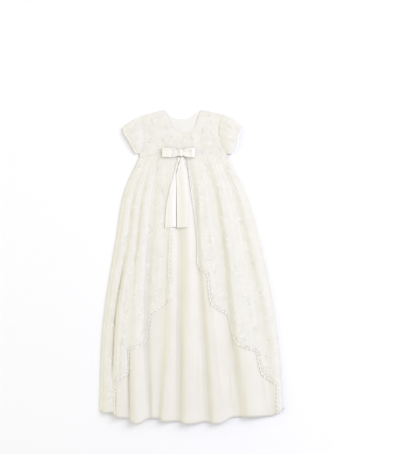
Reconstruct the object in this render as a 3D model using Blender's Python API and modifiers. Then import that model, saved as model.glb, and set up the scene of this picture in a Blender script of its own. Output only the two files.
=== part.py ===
"""A baby's long gown laid flat on its back, with its front up.

X runs to the right across the gown, Y from the hem towards the neck and Z up from the surface
that the gown lies on. Every piece of cloth is an open surface, made thick by Solidify. The two
skirts are four layers over one folded middle surface: each is made from that surface's points,
moved out along its normals. Sizes are in millimetres and MM turns them into metres.
"""

import math

import bmesh
import bpy
import numpy as np

MM = 0.001

# A smooth line is worked out at this many places for each of its points, then cut in equal steps
LINE_DETAIL = 12

# Cloth walls and the gaps between pieces
WALL = 1.2
BODICE_WALL = 1.5
LINING_WALL = 1.0
RIBBON_WALL = 1.0
SEAM_GAP = 0.3
WAIST_GAP = 0.6
ARMHOLE_GAP = 0.8

# The waist seam is an arc, highest at its middle
WAIST_Y = 329.0
WAIST_DROP = 17.0
WAIST_X = -25.0
WAIST_HALF = 124.0

# The skirt's folds, from its left edge to its right: crests, and valleys that mostly lie on the
# surface. x is the fold's place at five levels down the skirt, z its height at the lower three,
# and y_hem is where it meets the hem. At the second level its height is UPPER_SHARE of z_middle.
LEVELS_DOWN = (0.0, 0.126, 0.318, 0.663, 1.0)
FOLDS = [
    # x_waist, x_upper, x_middle, x_lower, x_hem, z_middle, z_lower, z_hem, y_hem
    (-147, -187, -212, -250, -260, 0, 0, 0, -410),
    (-136, -174, -197, -239, -246, 6, 4, 6, -416),
    (-127, -162, -184, -227, -229, 1, 5, 7, -413),
    (-119, -151, -169, -207, -207, 8, 12, 14, -428),
    (-112, -141, -158, -184, -186, 3, 13, 6, -430),
    (-103, -126, -144, -163, -157, 9, 16, 18, -445),
    (-90, -107, -125, -137, -123, 0, 0, 0, -433),
    (-79, -90, -98, -112, -110, 5, 5, 5, -430),
    (-69, -73, -77, -88, -97, 3, 2, 2, -432),
    (-59, -58, -59, -62, -80, 7, 10, 14, -439),
    (-47, -41, -40, -44, -43, 0, 0, 0, -440),
    (-32, -21, -13, -12, -12, 9, 13, 18, -445),
    (-13, 1, 11, 25, 39, 0, 0, 0, -442),
    (0, 18, 28, 52, 71, 7, 11, 15, -445),
    (36, 58, 79, 103, 122, 0, 0, 0, -428),
    (49, 76, 102, 131, 168, 9, 13, 17, -425),
    (74, 113, 147, 196, 227, 0, 2, 4, -425),
    (85, 130, 167, 221, 245, 4, 5, 7, -416),
    (99, 148, 190, 239, 260, 0, 0, 0, -405),
]
UPPER_SHARE = 0.6

# A fold's left side is the steep one: the part of its width that it rises over, the rise from
# which it is fully so, and the shares of the skirt where it starts to be so and fully is
STEEP_FROM = 0.26
STEEP_TO = 0.88
STEEP_RISE = 5.0
STEEP_START = 0.12
STEEP_FULL = 0.45

STEPS_A_FOLD = 3
NORMAL_STEP = 0.02
ROWS_DOWN = (0.0, 0.045, 0.1, 0.18, 0.3, 0.46, 0.64, 0.82, 1.0)

# Fine gathers under the waist seam: every second column is lifted, and less so further down
GATHER_HEIGHT = 2.0
GATHER_DOWN = 0.26

# The middle surface's height in a valley, and each layer's inner face from the middle surface
SATIN_OFFSET = SEAM_GAP / 2
LACE_OFFSET = SATIN_OFFSET + WALL + SEAM_GAP
BOW_OFFSET = LACE_OFFSET + WALL + SEAM_GAP
MIDDLE_Z = LACE_OFFSET + WALL
WRAP_DEGREES = (30.0, 60.0, 84.8)

# The bodice's edges, as points (x, y) that each line runs through
LEFT_SHOULDER = [(-143, 430), (-78, 447)]
RIGHT_SHOULDER = [(27, 447), (88, 433)]
FRONT_NECK = [(-78, 447), (-72, 430), (-65, 412), (-57, 397), (-42, 388), (-21, 386), (-6, 388),
              (6, 396), (13, 410), (19, 430), (27, 447)]
BACK_NECK = [(-78, 447), (-70, 435), (-61, 426), (-47, 421), (-29, 420), (-12, 421), (0, 428),
             (13, 438), (27, 447)]
LEFT_ARMHOLE = [(-143, 430), (-142, 405), (-137, 376), (-139, 348), (-147, 323)]
RIGHT_ARMHOLE = [(88, 433), (79, 416), (75, 390), (78, 362), (88, 337), (97, 322)]
BODICE_COLUMNS = (6, 14, 6)
BODICE_ROWS = 11
NECK_FOOT_X = (-112, 62)
BODICE_Z = 2.8
BODICE_PUFF = 1.3
WAIST_RISE = 0.5
PUFF_ACROSS_POWER = 0.6
PUFF_DOWN_POWER = 0.8
LINING_INSET = 2.0

# Soft drag folds in the bodice's front: both ends, height and half width
DRAG_FOLDS = [
    # x_start, y_start, x_end, y_end, height, half_width
    (74, 366, 30, 332, 2.2, 13),
    (-112, 362, -136, 335, 1.8, 12),
    (-60, 372, -70, 335, 1.2, 12),
    (4, 374, 8, 336, 1.0, 12),
]
DRAG_END_HEIGHT = 0.35
DRAG_END_SHARE = 0.15

# The sleeves: edge lines from the armhole to the cuff, and height from armhole to cuff
SLEEVES = [
    # name, top edge, cuff, underarm edge, armhole
    ("sleeve_left", [(-143, 430), (-163, 419), (-193, 398)],
     [(-193, 398), (-192, 385), (-177, 359), (-163, 333), (-157, 322)],
     [(-147, 323), (-157, 322)], LEFT_ARMHOLE),
    ("sleeve_right", [(88, 433), (116, 420), (146, 399)],
     [(146, 399), (134, 385), (129, 362), (122, 333), (110, 321)],
     [(97, 322), (110, 321)], RIGHT_ARMHOLE),
]
SLEEVE_SECTIONS = [
    # share of the way to the cuff, height
    (0.0, 7.0),
    (0.25, 11.0),
    (0.5, 13.0),
    (0.78, 12.0),
    (1.0, 9.5),
]
SLEEVE_RING = 28
SLEEVE_FLATNESS = 0.45
SLEEVE_REST = 1.15
HEAD_GATHER = 1.2
HEAD_GATHER_DOWN = 0.7
HEAD_GATHER_SIDE = 0.3

# The overskirt's two front edges, stepped down from the waist to the hem at the sides
LEFT_FRONT_EDGE = [(-35, 345), (-43, 219), (-52, 148), (-59, 91), (-62, 34), (-63, -23),
                   (-63, -92), (-83, -108), (-100, -121), (-115, -132), (-120, -157), (-124, -185),
                   (-130, -213), (-145, -223), (-173, -234), (-177, -259), (-181, -302),
                   (-197, -311), (-210, -320), (-214, -345), (-217, -450)]
RIGHT_FRONT_EDGE = [(-18, 345), (-6, 219), (5, 148), (14, 77), (14, 34), (12, 14), (20, 0),
                    (38, -16), (44, -51), (48, -86), (56, -108), (71, -120), (102, -141),
                    (107, -165), (116, -194), (126, -214), (145, -228), (180, -241), (186, -265),
                    (194, -299), (206, -314), (236, -332), (239, -365), (242, -450)]
SCALLOP_PITCH = 12.0
SCALLOP_DEPTH = 3.0
SCALLOP_SHAPE = ((0.0, 0.0), (0.3, 0.85), (0.7, 0.85))
EDGE_DETAIL = 400
OUTLINE_REACH = 300.0

# The satin bow: a knot over the waist seam, two loops and two tails
KNOT_X = -31.5
KNOT_Y = 324.5
KNOT_SIZE = (17.0, 27.0, 8.0)
KNOT_BEVEL = 2.8
KNOT_BEVEL_STEPS = 3
KNOT_Z = 9.9
LOOPS = [
    # name, direction, length, y of its middle at the outer end
    ("bow_loop_left", -1, 49.0, 325.5),
    ("bow_loop_right", 1, 34.0, 325.0),
]
LOOP_Z = 8.4
LOOP_RADIUS = 2.3
LOOP_HALF_WIDTHS = (6.5, 13.0)
LOOP_ACROSS = 5
LOOP_STATIONS = (0.0, 0.35, 0.7)
LOOP_TURN_DEGREES = (-90, -45, 0, 45, 90)
LOOP_KNOT_HEIGHT = 0.72
LOOP_FULL_WIDTH_AT = 0.6
LEFT_TAIL = [(-40, 313), (-44, 297), (-49, 281), (-56, 252), (-65, 214), (-73, 175), (-78, 111),
             (-53, 114), (-50, 180), (-46, 272), (-41, 290), (-32, 313)]
RIGHT_TAIL = [(-31, 313), (-38, 290), (-44, 272), (-45, 219), (-45, 111), (-13, 113), (-13, 219),
              (-17, 272), (-20, 290), (-23, 313)]
TAIL_FOLDS = (8, 12)
TAIL_ROWS = 5

CUTTER_TOP = 40.0

MATERIALS = {
    # name: colour, roughness, sheen
    "ivory_lace": ((0.80, 0.76, 0.68), 0.85, 0.2),
    "ivory_satin": ((0.86, 0.82, 0.74), 0.42, 0.0),
    "ivory_lining": ((0.84, 0.80, 0.73), 0.8, 0.0),
    "ivory_ribbon": ((0.88, 0.85, 0.78), 0.35, 0.0),
}


def clear_scene():
    for obj in list(bpy.data.objects):
        bpy.data.objects.remove(obj)


def new_collection(name, hidden=False):
    collection = bpy.data.collections.new(name)
    collection.hide_render = hidden
    bpy.context.scene.collection.children.link(collection)
    return collection


def principled(name, colour, roughness, sheen):
    material = bpy.data.materials.new(name)
    material.use_nodes = True
    shader = material.node_tree.nodes["Principled BSDF"]
    shader.inputs["Base Color"].default_value = (*colour, 1.0)
    shader.inputs["Roughness"].default_value = roughness
    shader.inputs["Metallic"].default_value = 0.0
    shader.inputs["Sheen Weight"].default_value = sheen
    material.diffuse_color = (*colour, 1.0)
    return material


def smooth(stations, values, places):
    """Values at the places, on a smooth curve through one value for each station."""
    stations = np.asarray(stations, float)
    values = np.asarray(values, float)
    slopes = np.gradient(values, stations, axis=0)
    index = np.clip(np.searchsorted(stations, places, side="right") - 1, 0, len(stations) - 2)
    width = stations[index + 1] - stations[index]
    t = (places - stations[index]) / width
    shape = (-1,) + (1,) * (values.ndim - 1)
    t, width = t.reshape(shape), width.reshape(shape)
    return (
        (2 * t**3 - 3 * t**2 + 1) * values[index]
        + (t**3 - 2 * t**2 + t) * width * slopes[index]
        + (3 * t**2 - 2 * t**3) * values[index + 1]
        + (t**3 - t**2) * width * slopes[index + 1]
    )


def along(line, count):
    """Points at equal steps along a smooth line through the given points."""
    line = np.asarray(line, float)
    marks = np.concatenate([[0], np.cumsum(np.linalg.norm(np.diff(line, axis=0), axis=1))])
    if len(line) > 2:
        fine = smooth(marks, line, np.linspace(0, marks[-1], LINE_DETAIL * len(line)))
    else:
        fine = line
    marks = np.concatenate([[0], np.cumsum(np.linalg.norm(np.diff(fine, axis=0), axis=1))])
    steps = np.linspace(0, marks[-1], count + 1)
    return np.stack([np.interp(steps, marks, fine[:, i]) for i in range(2)], axis=1)


def waist_y(x):
    return WAIST_Y - WAIST_DROP * ((x - WAIST_X) / WAIST_HALF) ** 2


def skirt_middle(down, across):
    """Points of the skirts' middle surface, without gathers: rows down, columns across the folds."""
    table = np.array(FOLDS, float)
    lines_x = smooth(LEVELS_DOWN, table[:, 0:5].T, down)
    heights = np.stack(
        [0 * table[:, 5], UPPER_SHARE * table[:, 5], table[:, 5], table[:, 6], table[:, 7]]
    )
    lines_z = np.maximum(0, smooth(LEVELS_DOWN, heights, down))
    fold = np.clip(np.floor(across).astype(int), 0, len(FOLDS) - 2)
    part = across - fold
    ease = (1 - np.cos(math.pi * part)) / 2
    x = lines_x[:, fold] * (1 - part) + lines_x[:, fold + 1] * part
    left_z, right_z = lines_z[:, fold], lines_z[:, fold + 1]
    steep_part = np.clip((part - STEEP_FROM) / (STEEP_TO - STEEP_FROM), 0, 1)
    steep = (1 - np.cos(math.pi * steep_part)) / 2
    lower = np.clip((np.asarray(down) - STEEP_START) / (STEEP_FULL - STEEP_START), 0, 1)
    lean = np.clip((right_z - left_z) / STEEP_RISE, 0, 1) * lower[:, None]
    z_ease = ease + (steep - ease) * lean
    z = left_z * (1 - z_ease) + right_z * z_ease
    x_waist = table[fold, 0] * (1 - part) + table[fold + 1, 0] * part
    y_hem = table[fold, 8] * (1 - ease) + table[fold + 1, 8] * ease
    y_top = waist_y(x_waist) - WAIST_GAP
    y = y_top + np.asarray(down)[:, None] * (y_hem - y_top)
    return np.stack([x, y, z + MIDDLE_Z], axis=2)


def unit(vectors):
    return vectors / np.linalg.norm(vectors, axis=-1, keepdims=True)


def skirt_frame(down, across):
    """The middle surface with its gathers, its normals and its outward direction across.

    At the waist seam, the first row, both directions stay square to the seam.
    """
    last = len(FOLDS) - 1
    middle = skirt_middle(down, across)
    to_right = skirt_middle(down, np.minimum(across + NORMAL_STEP, last))
    to_left = skirt_middle(down, np.maximum(across - NORMAL_STEP, 0))
    side = unit(to_right - to_left)
    lower = skirt_middle(np.minimum(down + NORMAL_STEP, 1), across)
    upper = skirt_middle(np.maximum(down - NORMAL_STEP, 0), across)
    normals = unit(np.cross(unit(lower - upper), side))
    outward = unit(np.cross(unit(upper - lower), normals))
    normals[0, :, 1] = 0
    normals[0] = unit(normals[0])
    outward[0] = (1, 0, 0)
    from_edge = np.minimum(across, last - across)[None, :]
    lifted = (np.arange(len(across)) % 2)[None, :] * np.minimum(from_edge, 1)
    fade = np.clip(1 - np.asarray(down) / GATHER_DOWN, 0, 1)[:, None] ** 2
    middle[:, :, 2] += GATHER_HEIGHT * fade * lifted
    return middle, normals, outward


def skirt_layer(offset, folds=(0, len(FOLDS) - 1), rows=len(ROWS_DOWN), wrapped=False):
    """A layer's inner face: the middle surface's points moved out, or in when the offset is negative.

    A wrapped layer turns round both side edges, nearly to the middle surface.
    """
    down = np.array(ROWS_DOWN[:rows])
    across = np.linspace(folds[0], folds[1], (folds[1] - folds[0]) * STEPS_A_FOLD + 1)
    middle, normals, outward = skirt_frame(down, across)
    layer = middle + normals * offset
    if not wrapped:
        return layer
    turned = []
    for angle in np.radians(WRAP_DEGREES):
        rise = normals * offset * math.cos(angle)
        reach = outward * abs(offset) * math.sin(angle)
        left = middle[:, :1] + rise[:, :1] - reach[:, :1]
        right = middle[:, -1:] + rise[:, -1:] + reach[:, -1:]
        turned.append((left, right))
    lefts = [left for left, right in reversed(turned)]
    rights = [right for left, right in turned]
    return np.concatenate(lefts + [layer] + rights, axis=1)


def bodice_sides():
    """Both armholes, each run straight down from the underarm to the waist."""
    sides = []
    for armhole in (LEFT_ARMHOLE, RIGHT_ARMHOLE):
        x = armhole[-1][0]
        line = along(armhole, BODICE_ROWS - 1)
        sides.append(np.concatenate([line, [(x, waist_y(x))]]))
    return sides


def bodice_top(neck):
    left_count, neck_count, right_count = BODICE_COLUMNS
    return np.concatenate([
        along(LEFT_SHOULDER, left_count),
        along(neck, neck_count)[1:],
        along(RIGHT_SHOULDER, right_count)[1:],
    ])


def flat_outline(inset=0.0):
    """The outline of a flat back panel, once round."""
    top = bodice_top(BACK_NECK)
    left, right = bodice_sides()
    x = np.linspace(right[-1, 0], left[-1, 0], 2 * BODICE_ROWS)
    waist = np.stack([x, waist_y(x)], axis=1)
    outline = np.concatenate([top, right[1:], waist[1:], left[-2:0:-1]])
    centre = (outline.min(axis=0) + outline.max(axis=0)) / 2
    half = np.ptp(outline, axis=0) / 2
    return centre + (outline - centre) * (1 - inset / half)


def front_plan():
    """A grid of (x, y) points over the bodice's front. The armholes' bends fade out inwards."""
    top = bodice_top(FRONT_NECK)
    left, right = bodice_sides()
    feet = (left[-1, 0], *NECK_FOOT_X, right[-1, 0])
    spans = [
        np.linspace(start, end, count + 1)[1:]
        for start, end, count in zip(feet, feet[1:], BODICE_COLUMNS)
    ]
    x = np.concatenate([feet[:1], *spans])
    bottom = np.stack([x, waist_y(x)], axis=1)
    down = np.linspace(0, 1, len(left))[:, None, None]
    over = np.linspace(0, 1, len(top))[None, :, None]
    ruled = (1 - down) * top + down * bottom
    left_bend = (left - ruled[:, 0])[:, None]
    right_bend = (right - ruled[:, -1])[:, None]
    return ruled + left_bend * (1 - over) ** 3 + right_bend * over**3


def front_heights(plan):
    """Heights of the bodice front's inner face: low at its edges, with a puff and drag folds."""
    rows, columns = plan.shape[:2]
    down = np.linspace(0, 1, rows)[:, None]
    over = np.linspace(0, 1, columns)[None, :]
    crown_across = (4 * over * (1 - over)) ** PUFF_ACROSS_POWER
    crown_down = np.sin(math.pi * down) ** PUFF_DOWN_POWER
    z = BODICE_Z + WAIST_RISE * down**3 + BODICE_PUFF * crown_across * crown_down
    for x0, y0, x1, y1, height, half_width in DRAG_FOLDS:
        run = np.array([x1 - x0, y1 - y0], float)
        reach = plan - np.array([x0, y0])
        share = np.clip((reach @ run) / (run @ run), 0, 1)
        distance = np.linalg.norm(reach - share[..., None] * run, axis=2)
        swell = np.clip(1 - (distance / half_width) ** 2, 0, 1) ** 1.5
        run_share = DRAG_END_SHARE + (1 - 2 * DRAG_END_SHARE) * share
        run_height = DRAG_END_HEIGHT + (1 - DRAG_END_HEIGHT) * np.sin(math.pi * run_share)
        z += height * swell * run_height
    return z


def sleeve_points(top, cuff, under, armhole):
    """Rings of a puffed sleeve, from the armhole to the cuff; each ring runs round the arm."""
    share = np.array([row[0] for row in SLEEVE_SECTIONS])
    height = np.array([row[1] for row in SLEEVE_SECTIONS])
    angle = np.arange(SLEEVE_RING) * 2 * math.pi / SLEEVE_RING
    over = (1 - np.cos(angle)) / 2
    edges = []
    for line, places in ((top, share), (cuff, over), (under, share), (armhole, over)):
        line = along(line, BODICE_ROWS - 1)
        marks = np.linspace(0, 1, BODICE_ROWS)
        edges.append(np.stack([np.interp(places, marks, line[:, i]) for i in range(2)], axis=1))
    top, cuff, under, armhole = edges
    away = math.copysign(ARMHOLE_GAP, cuff[0, 0] - armhole[0, 0])
    s, w = share[:, None, None], over[None, :, None]
    corners = (
        (1 - s) * ((1 - w) * top[0] + w * under[0]) + s * ((1 - w) * top[-1] + w * under[-1])
    )
    plan = (1 - s) * armhole[None] + s * cuff[None] + (1 - w) * top[:, None] + w * under[:, None]
    plan = plan - corners
    plan[..., 0] += away
    rise = np.abs(np.sin(angle)) ** SLEEVE_FLATNESS
    lower = np.minimum(1, SLEEVE_REST * rise)
    half = np.where(np.sin(angle) >= 0, 1 + rise, 1 - lower) / 2
    z = height[:, None] * half[None, :]
    on_top = (np.sin(angle) > HEAD_GATHER_SIDE) & (over < HEAD_GATHER_DOWN)
    lifted = (np.arange(SLEEVE_RING) % 2) * on_top
    z += HEAD_GATHER * ((1 - share) ** 2)[:, None] * lifted[None, :]
    return np.concatenate([plan, z[..., None]], axis=2)


def loop_points(direction, length, y_end):
    """A bow's loop: ribbon out along the bottom, round the end and back along the top."""
    start = KNOT_X + direction * (KNOT_SIZE[0] / 2 + SEAM_GAP)
    flat = length - LOOP_RADIUS - RIBBON_WALL / 2
    route = [(share * flat, 0.0) for share in LOOP_STATIONS]
    for angle in np.radians(LOOP_TURN_DEGREES):
        route.append((flat + LOOP_RADIUS * math.cos(angle), LOOP_RADIUS * (1 + math.sin(angle))))
    for share in reversed(LOOP_STATIONS):
        height = LOOP_KNOT_HEIGHT + (1 - LOOP_KNOT_HEIGHT) * share
        route.append((share * flat, 2 * LOOP_RADIUS * height))
    rows = []
    for out, up in route:
        share = min(1.0, out / length)
        inner, outer = LOOP_HALF_WIDTHS
        widened = math.sin(min(1.0, share / LOOP_FULL_WIDTH_AT) * math.pi / 2)
        half = inner + (outer - inner) * widened
        y_middle = KNOT_Y + (y_end - KNOT_Y) * share
        rows.append([
            (start + direction * out, y_middle + half * side, LOOP_Z + RIBBON_WALL / 2 + up)
            for side in np.linspace(1, -1, LOOP_ACROSS)
        ])
    return np.array(rows)


def scalloped(edge, outward):
    """The edge line with even scallops that swell to its outward side."""
    fine = along(edge, EDGE_DETAIL)
    marks = np.concatenate([[0], np.cumsum(np.linalg.norm(np.diff(fine, axis=0), axis=1))])
    count = round(marks[-1] / SCALLOP_PITCH)
    points = []
    for number in range(count):
        for share, swell in SCALLOP_SHAPE:
            mark = (number + share) * marks[-1] / count
            x, y = (np.interp(mark, marks, fine[:, i]) for i in range(2))
            x2, y2 = (np.interp(mark + 1, marks, fine[:, i]) for i in range(2))
            size = math.hypot(x2 - x, y2 - y)
            normal = np.array([y2 - y, x - x2]) / size * outward
            points.append(tuple(np.array([x, y]) + normal * swell * SCALLOP_DEPTH))
    return points + [tuple(edge[-1])]


def cloth(name, points, wall, material, collection, grow=1.0, ring=False):
    """A cloth wall on a grid of points, rows by columns, closed round when it is a ring.

    Every square is split the same way, so that layers made from the same points stay parallel.
    """
    rows, columns = points.shape[:2]
    faces = []
    for row in range(rows - 1):
        for column in range(columns if ring else columns - 1):
            beside = (column + 1) % columns
            here, below = row * columns, (row + 1) * columns
            faces.append((here + column, below + column, below + beside))
            faces.append((here + column, below + beside, here + beside))
    mesh = bpy.data.meshes.new(name)
    mesh.from_pydata((points.reshape(-1, 3) * MM).tolist(), [], faces)
    mesh.shade_smooth()
    mesh.materials.append(material)
    obj = bpy.data.objects.new(name, mesh)
    collection.objects.link(obj)
    thicken = obj.modifiers.new("wall", "SOLIDIFY")
    thicken.thickness = wall * MM
    thicken.offset = grow
    return obj


def flat_panel(name, outline, z, wall, material, collection):
    """A flat piece of cloth: a filled 2D curve, as thick as the wall, with its underside at z."""
    curve = bpy.data.curves.new(name, "CURVE")
    curve.dimensions = "2D"
    curve.fill_mode = "BOTH"
    curve.extrude = wall * MM / 2
    spline = curve.splines.new("POLY")
    spline.points.add(len(outline) - 1)
    for point, (x, y) in zip(spline.points, outline):
        point.co = (x * MM, y * MM, 0, 1)
    spline.use_cyclic_u = True
    curve.materials.append(material)
    obj = bpy.data.objects.new(name, curve)
    obj.location.z = (z + wall / 2) * MM
    collection.objects.link(obj)


def cut_to_outline(obj, outline, cutters):
    """Keeps only what lies inside the outline, seen from above."""
    bm = bmesh.new()
    face = bm.faces.new([bm.verts.new((x * MM, y * MM, -CUTTER_TOP * MM)) for x, y in outline])
    raised = bmesh.ops.extrude_face_region(bm, geom=[face])["geom"]
    corners = [item for item in raised if isinstance(item, bmesh.types.BMVert)]
    bmesh.ops.translate(bm, verts=corners, vec=(0, 0, 2 * CUTTER_TOP * MM))
    bmesh.ops.recalc_face_normals(bm, faces=bm.faces)
    mesh = bpy.data.meshes.new(obj.name + "_outline")
    bm.to_mesh(mesh)
    bm.free()
    cutter = bpy.data.objects.new(mesh.name, mesh)
    cutter.display_type = "WIRE"
    cutter.hide_render = True
    cutters.objects.link(cutter)
    trim = obj.modifiers.new("outline", "BOOLEAN")
    trim.operation = "INTERSECT"
    trim.object = cutter


def make_skirts(parts, cutters, satin, lace):
    cloth("skirt_back", skirt_layer(-SATIN_OFFSET), WALL, satin, parts, grow=-1.0)
    cloth("skirt_front", skirt_layer(SATIN_OFFSET), WALL, satin, parts)
    wrapped_back = skirt_layer(-LACE_OFFSET, wrapped=True)
    cloth("overskirt_back", wrapped_back, WALL, lace, parts, grow=-1.0)
    wrapped_front = skirt_layer(LACE_OFFSET, wrapped=True)
    for name, edge, side in (
        ("overskirt_left", LEFT_FRONT_EDGE, -1),
        ("overskirt_right", RIGHT_FRONT_EDGE, 1),
    ):
        layer = cloth(name, wrapped_front, WALL, lace, parts)
        beyond = side * OUTLINE_REACH
        outline = scalloped(edge, side) + [(beyond, edge[-1][1]), (beyond, edge[0][1])]
        cut_to_outline(layer, outline, cutters)


def make_bodice(parts, lace, lining):
    flat_panel("bodice_back", flat_outline(), 0.0, WALL, lace, parts)
    lining_outline = flat_outline(LINING_INSET)
    flat_panel("back_lining", lining_outline, WALL + SEAM_GAP, LINING_WALL, lining, parts)
    plan = front_plan()
    front = np.concatenate([plan, front_heights(plan)[..., None]], axis=2)
    cloth("bodice_front", front, BODICE_WALL, lace, parts)


def make_sleeves(parts, lace):
    for name, top, cuff, under, armhole in SLEEVES:
        points = sleeve_points(top, cuff, under, armhole)
        if name == "sleeve_right":
            points = points[:, ::-1]
        cloth(name, points, WALL, lace, parts, grow=-1.0, ring=True)


def make_bow(parts, cutters, ribbon):
    size = [length * MM for length in KNOT_SIZE]
    bpy.ops.mesh.primitive_cube_add(size=1)
    knot = bpy.context.object
    knot.name = knot.data.name = "bow_knot"
    knot.data.transform([[size[0], 0, 0, 0], [0, size[1], 0, 0], [0, 0, size[2], 0], [0, 0, 0, 1]])
    knot.location = (KNOT_X * MM, KNOT_Y * MM, (KNOT_Z + KNOT_SIZE[2] / 2) * MM)
    knot.data.materials.append(ribbon)
    for collection in knot.users_collection:
        collection.objects.unlink(knot)
    parts.objects.link(knot)
    edges = knot.modifiers.new("rounding", "BEVEL")
    edges.width = KNOT_BEVEL * MM
    edges.segments = KNOT_BEVEL_STEPS
    for name, direction, length, y_end in LOOPS:
        points = loop_points(direction, length, y_end)
        if direction > 0:
            points = points[:, ::-1]
        cloth(name, points, RIBBON_WALL, ribbon, parts, grow=0.0)
    patch_points = skirt_layer(BOW_OFFSET, folds=TAIL_FOLDS, rows=TAIL_ROWS)
    for name, outline in (("bow_tail_left", LEFT_TAIL), ("bow_tail_right", RIGHT_TAIL)):
        tail = cloth(name, patch_points, RIBBON_WALL, ribbon, parts)
        cut_to_outline(tail, outline, cutters)


def main():
    clear_scene()
    parts = new_collection("baby_dress")
    cutters = new_collection("cutters", hidden=True)
    materials = {name: principled(name, *look) for name, look in MATERIALS.items()}
    make_skirts(parts, cutters, materials["ivory_satin"], materials["ivory_lace"])
    make_bodice(parts, materials["ivory_lace"], materials["ivory_lining"])
    make_sleeves(parts, materials["ivory_lace"])
    make_bow(parts, cutters, materials["ivory_ribbon"])


main()
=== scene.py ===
"""The finish of a baby's long gown laid flat on its back, with its front up.

Sizes are in millimetres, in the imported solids' own frame: X runs to the right across the gown,
Y from the hem towards the neck and Z up from the surface that it lies on. MM turns them into
metres. The skirts are thin shells on the folded middle surface that the solids follow, with
finer gathers and creases on it.
"""

import math

import bpy
import numpy as np
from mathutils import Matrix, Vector
from mathutils.bvhtree import BVHTree
from mathutils.geometry import delaunay_2d_cdt

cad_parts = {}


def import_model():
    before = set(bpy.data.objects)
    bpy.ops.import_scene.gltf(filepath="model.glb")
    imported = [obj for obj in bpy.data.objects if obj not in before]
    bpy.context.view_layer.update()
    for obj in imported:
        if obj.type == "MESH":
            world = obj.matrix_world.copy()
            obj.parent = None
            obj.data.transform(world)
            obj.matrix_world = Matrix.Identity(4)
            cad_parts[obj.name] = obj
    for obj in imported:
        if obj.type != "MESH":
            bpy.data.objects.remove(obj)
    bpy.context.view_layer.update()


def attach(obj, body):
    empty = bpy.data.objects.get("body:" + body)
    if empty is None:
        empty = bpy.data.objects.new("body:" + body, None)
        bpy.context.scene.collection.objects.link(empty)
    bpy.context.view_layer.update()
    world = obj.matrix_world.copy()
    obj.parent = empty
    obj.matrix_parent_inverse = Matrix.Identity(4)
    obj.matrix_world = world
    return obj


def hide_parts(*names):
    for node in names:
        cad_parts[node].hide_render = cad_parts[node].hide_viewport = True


MM = 0.001

# A smooth line's fine points for each of its given ones, and how many are looked at in one go
LINE_FINENESS = 12
LINE_BLOCK = 100

# The waist seam is an arc, highest at its middle
WAIST_Y = 329.0
WAIST_DROP = 17.0
WAIST_X = -25.0
WAIST_HALF = 124.0
WAIST_GAP = 0.6

# The skirt's length, roughly, and how often a guess at a place on it is bettered
SKIRT_LENGTH = 760.0
PLACE_ROUNDS = 10

# The skirt's folds, from its left edge to its right: crests, and valleys that mostly lie on the
# surface. x is the fold's place at five levels down the skirt, z its height at the lower three.
LEVELS_DOWN = (0.0, 0.126, 0.318, 0.663, 1.0)
FOLDS = np.array([
    # x_waist, x_upper, x_middle, x_lower, x_hem, z_middle, z_lower, z_hem, y_hem
    (-147, -187, -212, -250, -260, 0, 0, 0, -410),
    (-136, -174, -197, -239, -246, 6, 4, 6, -416),
    (-127, -162, -184, -227, -229, 1, 5, 7, -413),
    (-119, -151, -169, -207, -207, 8, 12, 14, -428),
    (-112, -141, -158, -184, -186, 3, 13, 6, -430),
    (-103, -126, -144, -163, -157, 9, 16, 18, -445),
    (-90, -107, -125, -137, -123, 0, 0, 0, -433),
    (-79, -90, -98, -112, -110, 5, 5, 5, -430),
    (-69, -73, -77, -88, -97, 3, 2, 2, -432),
    (-59, -58, -59, -62, -80, 7, 10, 14, -439),
    (-47, -41, -40, -44, -43, 0, 0, 0, -440),
    (-32, -21, -13, -12, -12, 9, 13, 18, -445),
    (-13, 1, 11, 25, 39, 0, 0, 0, -442),
    (0, 18, 28, 52, 71, 7, 11, 15, -445),
    (36, 58, 79, 103, 122, 0, 0, 0, -428),
    (49, 76, 102, 131, 168, 9, 13, 17, -425),
    (74, 113, 147, 196, 227, 0, 2, 4, -425),
    (85, 130, 167, 221, 245, 4, 5, 7, -416),
    (99, 148, 190, 239, 260, 0, 0, 0, -405),
], float)
LAST_FOLD = len(FOLDS) - 1
UPPER_SHARE = 0.6

# A fold's left side is the steep one: the part of its width that it rises over, the rise from
# which it is fully so, and the shares of the skirt where it starts to be so and fully is
STEEP_FROM = 0.26
STEEP_TO = 0.88
STEEP_RISE = 5.0
STEEP_START = 0.12
STEEP_FULL = 0.45
MIDDLE_Z = 2.85

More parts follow.
